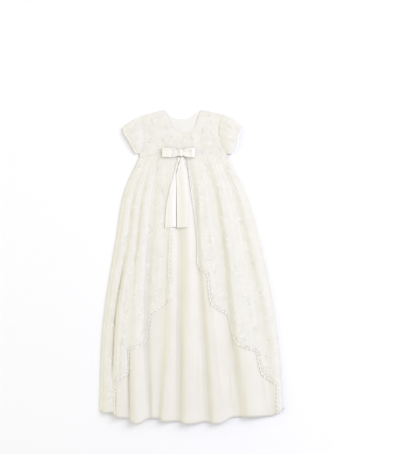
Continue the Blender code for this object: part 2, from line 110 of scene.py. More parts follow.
# Gathers under the waist seam, each a ridge that follows the folds and broadens as it fades
GATHERS = [
    # place across in folds, share of the skirt that it runs down, half width, height
    (0.35, 0.20, 3.6, 1.1),
    (0.95, 0.34, 4.4, 1.5),
    (1.60, 0.16, 3.2, 1.0),
    (2.25, 0.46, 4.0, 1.4),
    (2.90, 0.22, 3.4, 1.2),
    (3.65, 0.30, 3.6, 1.5),
    (4.30, 0.18, 3.4, 1.0),
    (4.85, 0.40, 4.6, 1.6),
    (5.40, 0.24, 3.8, 1.3),
    (5.95, 0.55, 4.4, 1.4),
    (6.50, 0.20, 3.6, 1.2),
    (7.10, 0.34, 4.2, 1.5),
    (7.70, 0.17, 3.6, 1.0),
    (8.25, 0.28, 4.0, 1.4),
    (8.90, 0.44, 4.4, 1.3),
    (9.45, 0.20, 4.0, 1.1),
    (9.95, 0.30, 4.2, 1.5),
    (10.45, 0.18, 3.8, 1.1),
    (10.95, 0.36, 4.6, 1.4),
    (11.40, 0.22, 4.0, 1.2),
    (11.85, 0.28, 4.2, 1.5),
    (12.40, 0.20, 3.8, 1.2),
    (12.90, 0.48, 4.4, 1.4),
    (13.20, 0.17, 3.6, 1.2),
    (13.42, 0.38, 4.2, 1.6),
    (13.66, 0.22, 3.8, 1.1),
    (13.90, 0.30, 4.4, 1.5),
    (14.40, 0.18, 3.8, 1.0),
    (14.90, 0.42, 4.6, 1.5),
    (15.30, 0.24, 4.0, 1.2),
    (15.72, 0.34, 4.4, 1.4),
    (16.25, 0.20, 3.4, 1.1),
    (16.85, 0.32, 3.8, 1.4),
    (17.50, 0.18, 3.4, 1.0),
]
GATHER_MARKS = 101
GATHER_SPREAD = 1.1
GATHER_SHARE = 0.66
SIDE_CALM = 3

# Soft creases lower down, each with both ends, its half width and its height, or depth if below 0.
# The ends of a crease have what a sine has at CREASE_END of its run.
CREASE_END = 0.1
CREASES = [
    # x_start, y_start, x_end, y_end, half_width, height
    (18, -236, 24, -436, 7, 2.0),
    (68, -208, 88, -393, 8, 2.4),
    (111, -293, 114, -379, 6, 1.6),
    (-94, 60, -101, -96, 8, 1.6),
    (-132, 120, -152, -60, 8, 1.8),
    (-18, 60, -24, -150, 7, -1.6),
    (40, 190, 62, 20, 8, 1.5),
    (52, -30, 66, -200, 8, 1.6),
    (120, 150, 152, -20, 8, 1.4),
    (160, -60, 186, -220, 9, 1.8),
    (196, -250, 214, -400, 8, 2.0),
    (-46, -100, -78, -330, 4.5, 2.2),
    (-110, -250, -112, -420, 7, 1.6),
    (-30, -220, -28, -440, 6, -2.2),
    (4, -180, 8, -330, 7, 1.4),
    (-194, -60, -214, -240, 7, 1.6),
    (146, -300, 150, -420, 7, -2.0),
    (-222, -300, -224, -410, 5, 1.4),
    (-192, 30, -222, -160, 7, -3.6),
    (-216, -120, -230, -330, 8, -4.8),
    (-237, -290, -238, -448, 13, 2.8),
    (-182, 30, -210, -160, 7, 2.8),
    (-203, -120, -218, -320, 8, 3.2),
    (-183, -230, -178, -447, 8, -6.0),
    (-164, -230, -160, -445, 7, 2.2),
    (-197, -150, -193, -410, 12, 3.4),
    (176, -448, 264, -420, 46, -4.5),
]

# The cloth's layers: each shell's inner face from the middle surface, and its wall
SATIN_INNER = 0.35
SATIN_WALL = 0.6
LACE_INNER = 2.15
LACE_WALL = 0.45
LACE_BACK_INNER = 1.9
RIBBON_INNER = 3.35
RIBBON_WALL = 0.5
WRAP_FOLDS = 0.24
WRAP_TURN = math.radians(84.8)
SKIRT_ROWS = 96
SKIRT_COLUMNS = 270
WRAP_COLUMNS = 5

# Steps across and down that the surface's slope is measured over, and the share of the skirt under
# the waist where its faces turn from upright to square with the cloth
SLOPE_STEPS = (0.02, 0.004)
WAIST_TURN = 0.02

# The bodice's edges, as points (x, y) that each line runs through
LEFT_SHOULDER = [(-143, 430), (-78, 447)]
RIGHT_SHOULDER = [(27, 447), (88, 433)]
FRONT_NECK = [(-78, 447), (-72, 430), (-65, 412), (-57, 397), (-42, 388), (-21, 386), (-6, 388),
              (6, 396), (13, 410), (19, 430), (27, 447)]
BACK_NECK = [(-78, 447), (-70, 435), (-61, 426), (-47, 421), (-29, 420), (-12, 421), (0, 428),
             (13, 438), (27, 447)]
LEFT_ARMHOLE = [(-143, 430), (-142, 405), (-137, 376), (-139, 348), (-147, 323)]
RIGHT_ARMHOLE = [(88, 433), (79, 416), (75, 390), (78, 362), (88, 337), (97, 322)]
BODICE_COLUMNS = (6, 14, 6)
BODICE_ROWS = 11
BODICE_FINER = 6
NECK_FOOT_X = (-112, 62)
BODICE_Z = 2.8
BODICE_PUFF = 1.3
PUFF_POWERS = (0.6, 0.8)
BODICE_FOOT_RISE = 0.5
BODICE_WALL = 0.8
BODICE_LIFT = 0.5
BACK_Z = 0.6
BACK_WALL = 0.7
LINING_Z = 1.6
LINING_WALL = 0.5

# How soft folds fade at their ends: the share of their height there, and the sine's share
FOLD_END_HEIGHT = 0.35
FOLD_END = 0.15

# Soft drag folds in the bodice's front: both ends, height and half width
DRAG_FOLDS = [
    # x_start, y_start, x_end, y_end, height, half_width
    (74, 366, 30, 332, 2.8, 10),
    (86, 350, 54, 328, 1.5, 8),
    (-112, 362, -136, 335, 2.2, 10),
    (-60, 372, -70, 335, 1.2, 12),
    (4, 374, 8, 336, 1.0, 12),
    (58, 384, 38, 350, 0.9, 8),
    (-98, 396, -118, 372, 0.8, 8),
]

# Soft folds that the bodice's back and its lining share
BACK_FOLDS = [
    # x_start, y_start, x_end, y_end, height, half_width
    (-120, 410, -96, 330, 0.6, 13),
    (-70, 400, -58, 322, 0.5, 15),
    (-30, 426, -16, 346, 0.5, 16),
    (14, 404, 22, 330, 0.6, 13),
    (66, 420, 56, 336, 0.5, 14),
    (-132, 352, -90, 338, 0.4, 9),
    (80, 350, 44, 334, 0.4, 9),
]

# The sleeves: edge lines from the armhole to the cuff, and height from armhole to cuff
SLEEVES = [
    # name, top edge, cuff, underarm edge, armhole
    ("sleeve_left", [(-143, 430), (-163, 419), (-193, 398)],
     [(-193, 398), (-192, 385), (-177, 359), (-163, 333), (-157, 322)],
     [(-147, 323), (-157, 322)], LEFT_ARMHOLE),
    ("sleeve_right", [(88, 433), (116, 420), (146, 399)],
     [(146, 399), (134, 385), (129, 362), (122, 333), (110, 321)],
     [(97, 322), (110, 321)], RIGHT_ARMHOLE),
]
SLEEVE_SHARES = (0.0, 0.25, 0.5, 0.78, 1.0)
SLEEVE_HEIGHTS = (5.0, 8.6, 10.8, 10.2, 8.6)
SLEEVE_RING = 120
SLEEVE_ROWS = 30
SLEEVE_FLATNESS = 0.45
SLEEVE_REST = 1.15
SLEEVE_WALL = 0.6
SLEEVE_EDGE_STEPS = 60
ARMHOLE_GAP = 1.3
SLEEVE_GATHERS = [
    # place round the upper side from its top edge, reach towards the cuff, half width, height
    (0.10, 0.45, 0.034, 0.7),
    (0.17, 0.75, 0.038, 1.1),
    (0.25, 0.50, 0.034, 0.7),
    (0.33, 0.95, 0.042, 1.3),
    (0.42, 0.60, 0.034, 0.9),
    (0.51, 0.85, 0.040, 1.1),
    (0.60, 0.48, 0.034, 0.7),
    (0.69, 0.70, 0.040, 1.0),
    (0.79, 0.45, 0.036, 0.7),
]

# The overskirt's two front edges, stepped down from the waist to the hem at the sides
LEFT_FRONT_EDGE = [(-35, 345), (-43, 219), (-52, 148), (-59, 91), (-62, 34), (-63, -23),
                   (-63, -92), (-83, -108), (-100, -121), (-115, -132), (-120, -157), (-124, -185),
                   (-130, -213), (-145, -223), (-173, -234), (-177, -259), (-181, -302),
                   (-197, -311), (-210, -320), (-214, -345), (-217, -450)]
RIGHT_FRONT_EDGE = [(-18, 345), (-6, 219), (5, 148), (14, 77), (14, 34), (12, 14), (20, 0),
                    (38, -16), (44, -51), (48, -86), (56, -108), (71, -120), (102, -141),
                    (107, -165), (116, -194), (126, -214), (145, -228), (180, -241), (186, -265),
                    (194, -299), (206, -314), (236, -332), (239, -365), (242, -450)]
SCALLOP_PITCH = 12.0
SCALLOP_DEPTH = 4.0
SCALLOP_STEPS = 8
EDGE_STEPS = 900
EDGE_LIFT = 0.4
EDGE_REACH = 7.0
EDGE_WAVE = 0.3
EDGE_WAVE_LENGTHS = (31.0, 23.0)
EDGE_FLAT_ABOVE = 95.0
EDGE_FLAT_RUN = 30.0

# For the lace fronts' mesh: one fold across and the whole skirt down in millimetres, roughly, and
# the strip along the edge that is kept clear of the grid's own points
MESH_SCALE = (24.0, 750.0)
MESH_CLEAR = 1.2
MESH_MERGE = 1e-5

# The satin bow: a knot over the waist seam, two loops and two tails
KNOT_X = -31.5
KNOT_Y = 324.5
KNOT_SIZE = (10.5, 19.5, 5.0)
KNOT_Z = 9.2
KNOT_RING = 48
KNOT_ROWS = 14
KNOT_TAPER = (0.12, 0.2)
KNOT_SQUARE = 0.75
KNOT_CREASE = 0.5
KNOT_CREASE_RATE = 6.0
LOOPS = [
    # name, direction, length, y of its middle at the outer end
    ("bow_loop_left", -1, 49.0, 325.5),
    ("bow_loop_right", 1, 34.0, 325.0),
]
LOOP_Z = 7.5
LOOP_RADIUS = 2.3
LOOP_HALF_WIDTHS = (6.5, 13.0)
LOOP_END_LIFT = 0.8
LOOP_LIFT_FROM = 0.55
LOOP_START = 0.3
LOOP_TUCK = 0.2
LOOP_FULL_WIDTH = 0.6
LOOP_STATIONS = 40
LOOP_END_STEPS = 13
LOOP_COLUMNS = 33

# The loops pinched under the knot: the share of their length, how much flatter and how far lifted
PINCH_RUN = 0.35
PINCH_FLATTER = 0.45
PINCH_LIFT = 3.2

# Fine pleats out of the knot: height, waves across the ribbon and where they start
LOOP_PLEAT = 0.55
LOOP_PLEAT_RATE = 7.5
LOOP_PLEAT_START = 0.6

# Folds pressed in the loops' upper layer, each with both ends, half width and height, or depth
LOOP_FOLDS = [
    # x_start, y_start, x_end, y_end, half_width, height
    (-60, 316, -55, 331, 3.4, -2.6),
    (-55, 331, -47, 335, 3.2, -2.4),
    (-47, 335, -41, 326, 3.2, -2.6),
    (-53, 318, -44, 329, 3.6, 2.6),
    (-66, 334, -84, 337, 5.0, 1.0),
    (-64, 317, -84, 314, 5.0, 0.9),
    (-1, 334, 0, 314, 7.5, 2.8),
    (-6, 331, -3, 327, 3.2, -2.8),
    (-20, 331, -8, 334, 4.0, 1.2),
    (-20, 319, -7, 315, 4.0, 1.2),
]
TAIL_BRIDGES = (0.15, 0.22)
LEFT_TAIL_SIDES = (
    [(-40, 313), (-44, 297), (-49, 281), (-56, 252), (-65, 214), (-73, 175), (-78, 111)],
    [(-32, 313), (-39.8, 290), (-45.2, 272), (-46.4, 219), (-46.9, 180), (-47.3, 114)],
)
RIGHT_TAIL_SIDES = (
    [(-31, 313), (-38, 290), (-44, 272), (-45, 219), (-45, 111)],
    [(-23, 313), (-20, 290), (-17, 272), (-13, 219), (-13, 113)],
)
TAIL_ROWS = 90
TAIL_COLUMNS = 18
TAIL_PLEAT = 0.9
TAIL_PLEAT_FADE = 5
TAIL_PLEAT_WAVES = 1.5
TAIL_CURL = 0.3
TAIL_CURL_EVEN = 0.4
TAIL_CURL_WAVE = (7, 1)

# Corded edging, piping and seams
CORD_HALF = (1.5, 0.7)
CORD_INSET = 1.1
CORD_STEP = 1.1
CORD_PITCH = 3.2
CORD_TWIST = 0.04
CORD_SIDES = 10
CORD_FEWEST_STEPS = 8
PIPING_HALF = (1.1, 0.9)
PIPING_SHIFT = 0.5
BINDING_HALF = (1.1, 0.6)
CORD_FREE_RISE = 0.3
SHOULDER_HALF = (1.2, 1.7)
SHOULDER_DROP = -1.0
WAIST_PIPING_HALF = (1.0, 0.8)
WAIST_PIPING_RISE = 1.3
BACK_BINDING_HALF = (1.3, 1.0)
CUFF_HALF = (1.2, 1.1)
SLEEVE_CLEAR = 0.1
STITCH_PITCH = 5.0
STITCH_SIZE = (3.0, 0.55, 0.35)
STITCH_PLACES = np.array([0.0, 0.2, 0.5, 0.8, 1.0])
STITCH_SHARES = (0.0, 0.75, 1.0, 0.75, 0.0)
STITCH_START = 0.2
NECK_STITCH_ROW = 3
CUFF_STITCH_RING = -4
STITCH_END_WIDTH = 0.3
STITCH_SINK = 0.1

# The satin's hem: the share of the skirt down to it, the share that it thickens over, by how much
HEM_DOWN = 0.975
HEM_EASE = 0.004
HEM_STEP = 0.5
HEM_SIDE_FREE = 0.3
HEM_POINTS = 400

# The cut of what shows, flat: width and length of each piece's blank in metres, and its area
SKIRT_CUT = (0.56, 0.80, 0.40)
LEFT_LACE_CUT = (0.26, 0.79, 0.105)
RIGHT_LACE_CUT = (0.30, 0.79, 0.105)
LEFT_TAIL_CUT = (0.026, 0.205, 0.0038)
RIGHT_TAIL_CUT = (0.034, 0.205, 0.0065)

# Sprays of embroidery, each a flower on a leafy stem: its place, turn in degrees and size
LEFT_SPRAYS = [
    # x, y, turn, scale
    (-160, 26, 70, 1.0), (-123, 14, 250, 0.9), (-98, -74, 40, 1.1), (-146, -180, 80, 1.0),
    (-84, 120, 95, 0.9), (-86, 222, 80, 0.8), (-132, 232, 60, 0.9), (-166, 160, 240, 0.8),
    (-122, 108, 60, 1.0), (-190, 92, 70, 0.9), (-88, 28, 265, 0.9), (-206, -40, 75, 1.0),
    (-160, -66, 60, 1.0), (-118, -28, 300, 0.8), (-184, -128, 250, 0.9), (-226, -150, 80, 0.9),
    (-198, -206, 70, 1.0), (-232, -262, 85, 0.9), (-206, -292, 250, 0.8), (-236, -366, 80, 0.9),
    (-84, -20, 80, 0.8), (-146, -134, 300, 0.8), (-150, 290, 70, 0.7), (-98, 276, 260, 0.7),
    (-64, 180, 85, 0.7), (-176, -10, 250, 0.8), (-138, 176, 250, 0.8), (-108, 176, 70, 0.8),
]
RIGHT_SPRAYS = [
    # x, y, turn, scale
    (39, 26, 110, 0.9), (85, -86, 120, 1.1), (139, -191, 100, 1.0), (213, -288, 110, 1.0),
    (11, 234, 95, 0.9), (76, 228, 110, 0.9), (131, 140, 120, 1.0), (193, -66, 100, 1.0),
    (36, 150, 280, 0.9), (84, 146, 100, 0.9), (44, 88, 100, 1.0), (100, 74, 290, 1.0),
    (152, 58, 110, 0.9), (62, -6, 80, 1.0), (122, -10, 110, 1.0), (176, 10, 280, 0.8),
    (74, -58, 290, 0.8), (150, -90, 110, 1.0), (206, -140, 110, 0.9), (128, -146, 290, 0.8),
    (176, -168, 110, 0.9), (226, -216, 280, 0.9), (206, -250, 110, 0.8), (240, -330, 100, 0.8),
    (40, 286, 100, 0.7), (98, 288, 110, 0.7), (54, 250, 280, 0.7), (112, 206, 280, 0.8),
    (24, 190, 80, 0.7), (142, -40, 280, 0.7),
]
BACK_SPRAY_PITCH = (70.0, 78.0)
BACK_SPRAY_X = (-280.0, 260.0)
BACK_SPRAY_Y = (-400.0, 290.0)
BACK_SPRAY_TURNS = (90, 230)
BACK_SPRAY_SCALE = 0.95
BODICE_SPRAYS = [
    # x, y, turn, scale
    (-106, 408, 300, 0.8), (-118, 372, 70, 0.9), (-88, 366, 110, 0.8), (-58, 366, 250, 0.7),
    (54, 408, 240, 0.8), (58, 372, 100, 0.9), (28, 372, 70, 0.8), (2, 366, 290, 0.7),
    (-28, 370, 90, 0.7), (-92, 428, 20, 0.6), (44, 430, 160, 0.6), (-126, 400, 90, 0.6),
    (-100, 340, 80, 0.7), (52, 340, 100, 0.7), (-130, 342, 80, 0.6), (76, 338, 110, 0.6),
    (-76, 400, 80, 0.6), (26, 396, 100, 0.6),
]
BODICE_BACK_SPRAYS = [
    # x, y, turn, scale
    (-106, 400, 60, 0.8), (-60, 396, 110, 0.8), (-26, 376, 250, 0.8), (8, 396, 70, 0.8),
    (54, 400, 120, 0.8), (-86, 360, 270, 0.8), (34, 360, 280, 0.8), (-118, 352, 80, 0.7),
    (60, 352, 100, 0.7), (-50, 346, 90, 0.7), (2, 346, 80, 0.7),
]
BACK_SPRAY_FLATTER = 0.4
SLEEVE_SPRAYS = {
    "sleeve_left": [(-164, 394, 250, 0.7), (-158, 360, 70, 0.7), (-178, 388, 80, 0.6)],
    "sleeve_right": [(110, 396, 290, 0.7), (108, 360, 110, 0.7), (128, 392, 100, 0.6)],
}
SPRAY_RISE = 0.9
SPRAY_SINK = 0.12
SPRAY_WALL = 0.2
BACK_SPRAY_SHARE = 0.4
SPRAY_MARGIN = 4.0
SPRAY_ROWS_FREE = (0.012, 0.985)
SPRAY_SIDE_FREE = 0.25

# Far corners that close a lace front's outline, and the heights that a shell is searched from
LACE_FAR_X = 500.0
LACE_FAR_Y = (-450.0, 345.0)
PROBE_Z = 200.0
NEAR_Z = 5.0

# One spray: a ring of petals round an open centre above its middle, and a curved stem below it
FLOWER_Y = 11.0
PETALS = 5
PETAL_FOOT = 2.7
PETAL_SIZE = (5.2, 5.4)
STEM_POINTS = 12
STEM_TOP = 5.0
STEM_LENGTH = 26.0
STEM_BEND = 5.0
STEM_BEND_TURN = 2.6
STEM_WIDTH = 1.0
STEM_RISE = 0.6
LEAF_TURN = 52
LEAF_WIDTH = 3.9
LEAVES = [
    # place along the stem, side, length
    (3, -1, 9.0), (5, 1, 9.5), (7, -1, 8.0), (9, 1, 7.0), (11, -1, 6.0),
]
BUD_TURN = 62
BUD_STALK = 7.0
BUD_STALK_WIDTH = 0.8
BUD_STALK_POINTS = 5
BUD_SIZE = (3.6, 3.2)
BUDS = [
    # place along the stem, side
    (4, 1), (6, -1),
]
LEAF_GRID = (7, 5)
LEAF_FULLEST = 0.85
LEAF_BLUNT = 0.8
LEAF_TIP = 0.05
LEAF_END = 0.08
LEAF_VEIN = 0.35
LEAF_VEIN_WIDTH = 0.22

# The view from straight above, in millimetres
CAMERA_AT = (22.2, 114.0, 3055.0)
CAMERA_LENS = 85.0
CAMERA_SENSOR = 36.0

# The studio round it, in metres
CAMERA_REACH = 20.0
FLOOR_SIZE = 8.0
FLOOR_Z = -0.0002
KEY_AT = (2.1, 1.1, 1.9)
KEY_SIZE = 1.7
KEY_POWER = 44.0
KEY_COLOUR = (0.99, 0.99, 1.08)
FILL_AT = (-2.9, 0.2, 1.05)
FILL_SIZE = 1.6
FILL_POWER = 24.0
FILL_COLOUR = (1.0, 0.94, 0.40)
SKY_COLOUR = (0.965, 0.970, 1.01)
SKY_STRENGTH = 0.775

# Finishes. Lengths are in metres.
# The deep lace colours fill the net's holes, as painted shade there, and random patches
LACE_COLOUR = (0.912, 0.890, 0.820)
LACE_DEEP_COLOUR = (0.858, 0.838, 0.760)
BACKED_COLOUR = (0.832, 0.814, 0.757)
BACKED_DEEP_COLOUR = (0.766, 0.745, 0.678)
NET_PITCH = 0.0022
NET_OPEN_COVER = 0.72
NET_BUMP = (0.35, 0.0003)
LACE_SHEEN = 0.25
LACE_FUZZ = 700.0
LACE_PATCHES = 46.0
THREAD_COLOUR = (0.918, 0.904, 0.848)
THREAD_DEEP_COLOUR = (0.752, 0.742, 0.660)
THREAD_PATCHES = 58.0
THREAD_STRANDS = 900.0
THREAD_STRETCH = (1.0, 1.6, 1.0)
THREAD_SHEEN = 0.3
THREAD_BUMP = (0.3, 0.0003)
CORD_STRANDS = 500.0
CORD_COLOUR = (0.935, 0.920, 0.870)
CORD_DEEP_COLOUR = (0.880, 0.862, 0.800)
PIPING_COLOUR = (0.862, 0.845, 0.790)
PIPING_DEEP_COLOUR = (0.815, 0.796, 0.735)
WOVEN_PATCHES = 16.0
WOVEN_THREAD_SHARE = 0.4
WOVEN_RELIEF = 0.0004
PATCH_DETAIL = 3.0
SATIN_LOOK = dict(
    colour=(0.815, 0.792, 0.722), deep=(0.790, 0.765, 0.692), grain=(900.0, 120.0, 900.0),
    roughness=(0.38, 0.5), bump=0.06, sheen=0.15,
)
RIBBON_LOOK = dict(
    colour=(0.865, 0.848, 0.795), deep=(0.845, 0.826, 0.770), grain=(1400.0, 160.0, 1400.0),
    roughness=(0.30, 0.42), bump=0.05, sheen=0.1,
)
LINING_LOOK = dict(
    colour=(0.830, 0.815, 0.770), deep=(0.810, 0.793, 0.745), grain=(1100.0, 1100.0, 1100.0),
    roughness=(0.75, 0.88), bump=0.12, sheen=0.2,
)
FLOOR_COLOUR = (0.925, 0.925, 0.945)
FLOOR_DEEPER = 0.995
FLOOR_SPECKLE = 30.0

# How a pattern's values are turned into shades or roughness: from, to, and what those two become
NET_FADE = (0.35, -0.45, 0.0, 1.0)
NET_OPENING = (0.0, 1.0, NET_OPEN_COVER, 1.0)
LACE_PATCH_SHADES = (0.38, 0.62, -0.45, 0.35)
LACE_ROUGHNESS = (0.3, 0.7, 0.72, 0.9)
THREAD_STRAND_SHADES = (0.35, 0.65, 0.2, 0.8)
THREAD_PATCH_SHADES = (0.42, 0.58, -0.5, 0.5)
THREAD_ROUGHNESS = (0.3, 0.7, 0.5, 0.68)
WOVEN_SHADES = (0.45, 0.95, 0.0, 1.0)
WOVEN_ROUGHNESS_FROM = (0.4, 1.0)
FLOOR_SHADES = (0.3, 0.7, 0.0, 1.0)
FLOOR_ROUGHNESS = (0.3, 0.7, 0.85, 0.95)


def smooth(stations, values, places):
    """Values at the places, on a smooth curve through one value for each station."""
    stations = np.asarray(stations, float)
    values = np.asarray(values, float)
    slopes = np.gradient(values, stations, axis=0)
    index = np.clip(np.searchsorted(stations, places, side="right") - 1, 0, len(stations) - 2)
    width = stations[index + 1] - stations[index]
    t = (places - stations[index]) / width
    shape = (-1,) + (1,) * (values.ndim - 1)
    t, width = t.reshape(shape), width.reshape(shape)
    return (
        (2 * t**3 - 3 * t**2 + 1) * values[index]
        + (t**3 - 2 * t**2 + t) * width * slopes[index]
        + (3 * t**2 - 2 * t**3) * values[index + 1]
        + (t**3 - t**2) * width * slopes[index + 1]
    )


def lengths_along(line):
    return np.concatenate([[0], np.cumsum(np.linalg.norm(np.diff(line, axis=0), axis=1))])


def at_lengths(line, marks, steps):
    """Points of a line at given lengths along it. marks are the lengths at its own points."""
    return np.stack([np.interp(steps, marks, values) for values in line.T], axis=1)


def along(line, count):
    """Points at equal steps along a smooth line through the given points."""
    line = np.asarray(line, float)
    if len(line) > 2:
        marks = lengths_along(line)
        line = smooth(marks, line, np.linspace(0, marks[-1], LINE_FINENESS * len(line)))
    marks = lengths_along(line)
    return at_lengths(line, marks, np.linspace(0, marks[-1], count + 1))


def unit(vectors):
    return vectors / np.linalg.norm(vectors, axis=-1, keepdims=True)


def waist_y(x):
    return WAIST_Y - WAIST_DROP * ((x - WAIST_X) / WAIST_HALF) ** 2


def swell(distance):
    """A soft ridge's share of its height, 1 on its line and 0 from its half width on."""
    return np.clip(1 - distance**2, 0, 1) ** 2


def belly(share, end):
    """A sine along a line, largest halfway. Its ends lie that share of its run in from zero."""
    return np.sin(math.pi * (end + (1 - 2 * end) * share))


def segment_share(x, y, start, end):
    """How far along a segment each point lies, from 0 to 1, and its distance from it."""
    run = np.array(end, float) - np.array(start, float)
    share = np.clip(((x - start[0]) * run[0] + (y - start[1]) * run[1]) / (run @ run), 0, 1)
    distance = np.hypot(x - start[0] - share * run[0], y - start[1] - share * run[1])
    return share, distance


def cosine_ease(share):
    return (1 - np.cos(math.pi * share)) / 2


def skirt_ends(fold, part):
    """The y of the skirt's waist and of its hem, at a part of a fold's width."""
    ease = cosine_ease(part)
    x_waist = FOLDS[fold, 0] * (1 - part) + FOLDS[fold + 1, 0] * part
    y_hem = FOLDS[fold, 8] * (1 - ease) + FOLDS[fold + 1, 8] * ease
    return waist_y(x_waist) - WAIST_GAP, y_hem


def fold_surface(down, across):
    """Points of the middle surface as the solids have it, one for each pair of values."""
    lines_x = smooth(LEVELS_DOWN, FOLDS[:, 0:5].T, down)
    tops = FOLDS[:, 5]
    heights = np.stack([0 * tops, UPPER_SHARE * tops, tops, FOLDS[:, 6], FOLDS[:, 7]])
    lines_z = np.maximum(0, smooth(LEVELS_DOWN, heights, down))
    fold = np.clip(np.floor(across).astype(int), 0, LAST_FOLD - 1)
    part = across - fold
    row = np.arange(len(down))
    x = lines_x[row, fold] * (1 - part) + lines_x[row, fold + 1] * part
    left_z, right_z = lines_z[row, fold], lines_z[row, fold + 1]
    steep_part = np.clip((part - STEEP_FROM) / (STEEP_TO - STEEP_FROM), 0, 1)
    ease, steep = cosine_ease(part), cosine_ease(steep_part)
    lean = np.clip((right_z - left_z) / STEEP_RISE, 0, 1)
    lean = lean * np.clip((down - STEEP_START) / (STEEP_FULL - STEEP_START), 0, 1)
    z_ease = ease + (steep - ease) * lean
    z = left_z * (1 - z_ease) + right_z * z_ease
    y_top, y_hem = skirt_ends(fold, part)
    y = y_top + down * (y_hem - y_top)
    return np.stack([x, y, z], axis=1)


def gather_lines():
    """The x of each gather's line at even steps down the skirt."""
    steps = np.linspace(0, 1, GATHER_MARKS)
    return steps, [fold_surface(steps, np.full(GATHER_MARKS, row[0]))[:, 0] for row in GATHERS]


GATHER_STEPS, GATHER_X = gather_lines()


def middle_surface(down, across):
    """Points of the middle surface with its gathers and creases."""
    points = fold_surface(down, across)
    x, y = points[:, 0], points[:, 1]
    rise = np.zeros(len(x))
    for (_, reach, half_width, height), line in zip(GATHERS, GATHER_X):
        width = half_width * (1 + GATHER_SPREAD * down / reach)
        fade = np.clip(1 - down / reach, 0, 1)
        line_x = np.interp(down, GATHER_STEPS, line)
        rise += GATHER_SHARE * height * fade * (2 - fade) * swell((x - line_x) / width)
    for x0, y0, x1, y1, half_width, height in CREASES:
        share, distance = segment_share(x, y, (x0, y0), (x1, y1))
        rise += height * swell(distance / half_width) * belly(share, CREASE_END)
    from_side = np.minimum(across, LAST_FOLD - across)
    points[:, 2] += rise * np.clip(SIDE_CALM * from_side, 0, 1)
    points[:, 2] = np.maximum(points[:, 2], 0) + MIDDLE_Z
    return points


def skirt_points(down, across, offset):
    """Points at an offset from the middle surface, turned round its side edges past its folds."""
    step_across, step_down = SLOPE_STEPS
    inner = np.clip(across, 0, LAST_FOLD)
    middle = middle_surface(down, inner)
    to_right = middle_surface(down, np.minimum(inner + step_across, LAST_FOLD))
    to_left = middle_surface(down, np.maximum(inner - step_across, 0))
    lower = middle_surface(np.minimum(down + step_down, 1), inner)
    upper = middle_surface(np.maximum(down - step_down, 0), inner)
    side = unit(to_right - to_left)
    normals = np.cross(unit(lower - upper), side)
    normals[:, 1] *= np.clip(down / WAIST_TURN, 0, 1)
    normals = unit(normals)
    outward = unit(np.cross(unit(upper - lower), normals))
    turn = (across - inner) / WRAP_FOLDS * WRAP_TURN
    offset = np.broadcast_to(offset, down.shape)[:, None]
    rise = normals * offset * np.cos(turn)[:, None]
    reach = outward * np.abs(offset) * np.sin(turn)[:, None]
    return middle + rise + reach


def fold_place(x, y):
    """The place down and across the skirt under each point (x, y)."""
    down = np.clip((WAIST_Y - y) / SKIRT_LENGTH, 0, 1)
    row = np.arange(len(x))
    for _ in range(PLACE_ROUNDS):
        lines_x = smooth(LEVELS_DOWN, FOLDS[:, 0:5].T, down)
        fold = np.clip((lines_x <= x[:, None]).sum(axis=1) - 1, 0, LAST_FOLD - 1)
        left, right = lines_x[row, fold], lines_x[row, fold + 1]
        part = np.clip((x - left) / (right - left), 0, 1)
        y_top, y_hem = skirt_ends(fold, part)
        down = np.clip((y_top - y) / (y_top - y_hem), 0, 1)
    return down, fold + part


def new_object(name, points, faces, material, smooth_shade=True):
    mesh = bpy.data.meshes.new(name)
    mesh.from_pydata((np.asarray(points) * MM).tolist(), [], faces)
    if smooth_shade:
        mesh.shade_smooth()
    mesh.materials.append(material)
    obj = bpy.data.objects.new(name, mesh)
    bpy.context.scene.collection.objects.link(obj)
    return obj


def grid_faces(rows, columns, ring=False):
    faces = []
    for row in range(rows - 1):
        for column in range(columns if ring else columns - 1):
            beside = (column + 1) % columns
            here, below = row * columns, (row + 1) * columns
            faces.append((here + column, below + column, below + beside, here + beside))
    return faces


def thicken(obj, wall, grow=1.0):
    modifier = obj.modifiers.new("wall", "SOLIDIFY")
    modifier.thickness = wall * MM
    modifier.offset = grow


def on_body(obj, slot, *nodes):
    """obj moves with the gown and stands for these nodes, whose solids are hidden. slot is not
    used.
    """
    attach(obj, "root")
    if nodes:
        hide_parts(*nodes)
    return obj


def cloth(name, cad_node, points, wall, material, slot, grow=1.0, ring=False):
    """A cloth shell that stands for a CAD node. Its points are a grid, rows by columns, closed
    round when it is a ring."""
    rows, columns = points.shape[:2]
    obj = new_object(name, points.reshape(-1, 3), grid_faces(rows, columns, ring), material)
    thicken(obj, wall, grow)
    return on_body(obj, slot, cad_node)


def columns_across(wrapped):
    """Places across the skirt, one for each column, and past its side edges where it is wrapped."""
    across = np.linspace(0, LAST_FOLD, SKIRT_COLUMNS)
    if not wrapped:
        return across
    past = np.linspace(0, WRAP_FOLDS, WRAP_COLUMNS + 1)[1:]
    return np.concatenate([-past[::-1], across, LAST_FOLD + past])


def skirt_grid(offset, wrapped=False):
    """A grid of points off the middle surface, by one offset for all rows or one for each."""
    rows = np.linspace(0, 1, SKIRT_ROWS)
    down, across = np.meshgrid(rows, columns_across(wrapped), indexing="ij")
    offset = np.broadcast_to(np.reshape(offset, (-1, 1)), down.shape)
    points = skirt_points(down.ravel(), across.ravel(), offset.ravel())
    return points.reshape(*down.shape, 3)


def scallops(edge, outward):
    """The edge line with even scallops that swell to its outward side, as round arches."""
    fine = along(edge, EDGE_STEPS)
    marks = lengths_along(fine)
    count = round(marks[-1] / SCALLOP_PITCH)
    share = np.arange(count * SCALLOP_STEPS + 1) / SCALLOP_STEPS
    mark = share * marks[-1] / count
    line, ahead, behind = (at_lengths(fine, marks, mark + step) for step in (0, 1, -1))
    run = unit(ahead - behind)
    normal = np.stack([run[:, 1], -run[:, 0]], axis=1) * outward
    arch = np.sqrt(np.clip(1 - (2 * (share % 1) - 1) ** 2, 0, 1))
    return line - normal * (arch * SCALLOP_DEPTH)[:, None], -normal


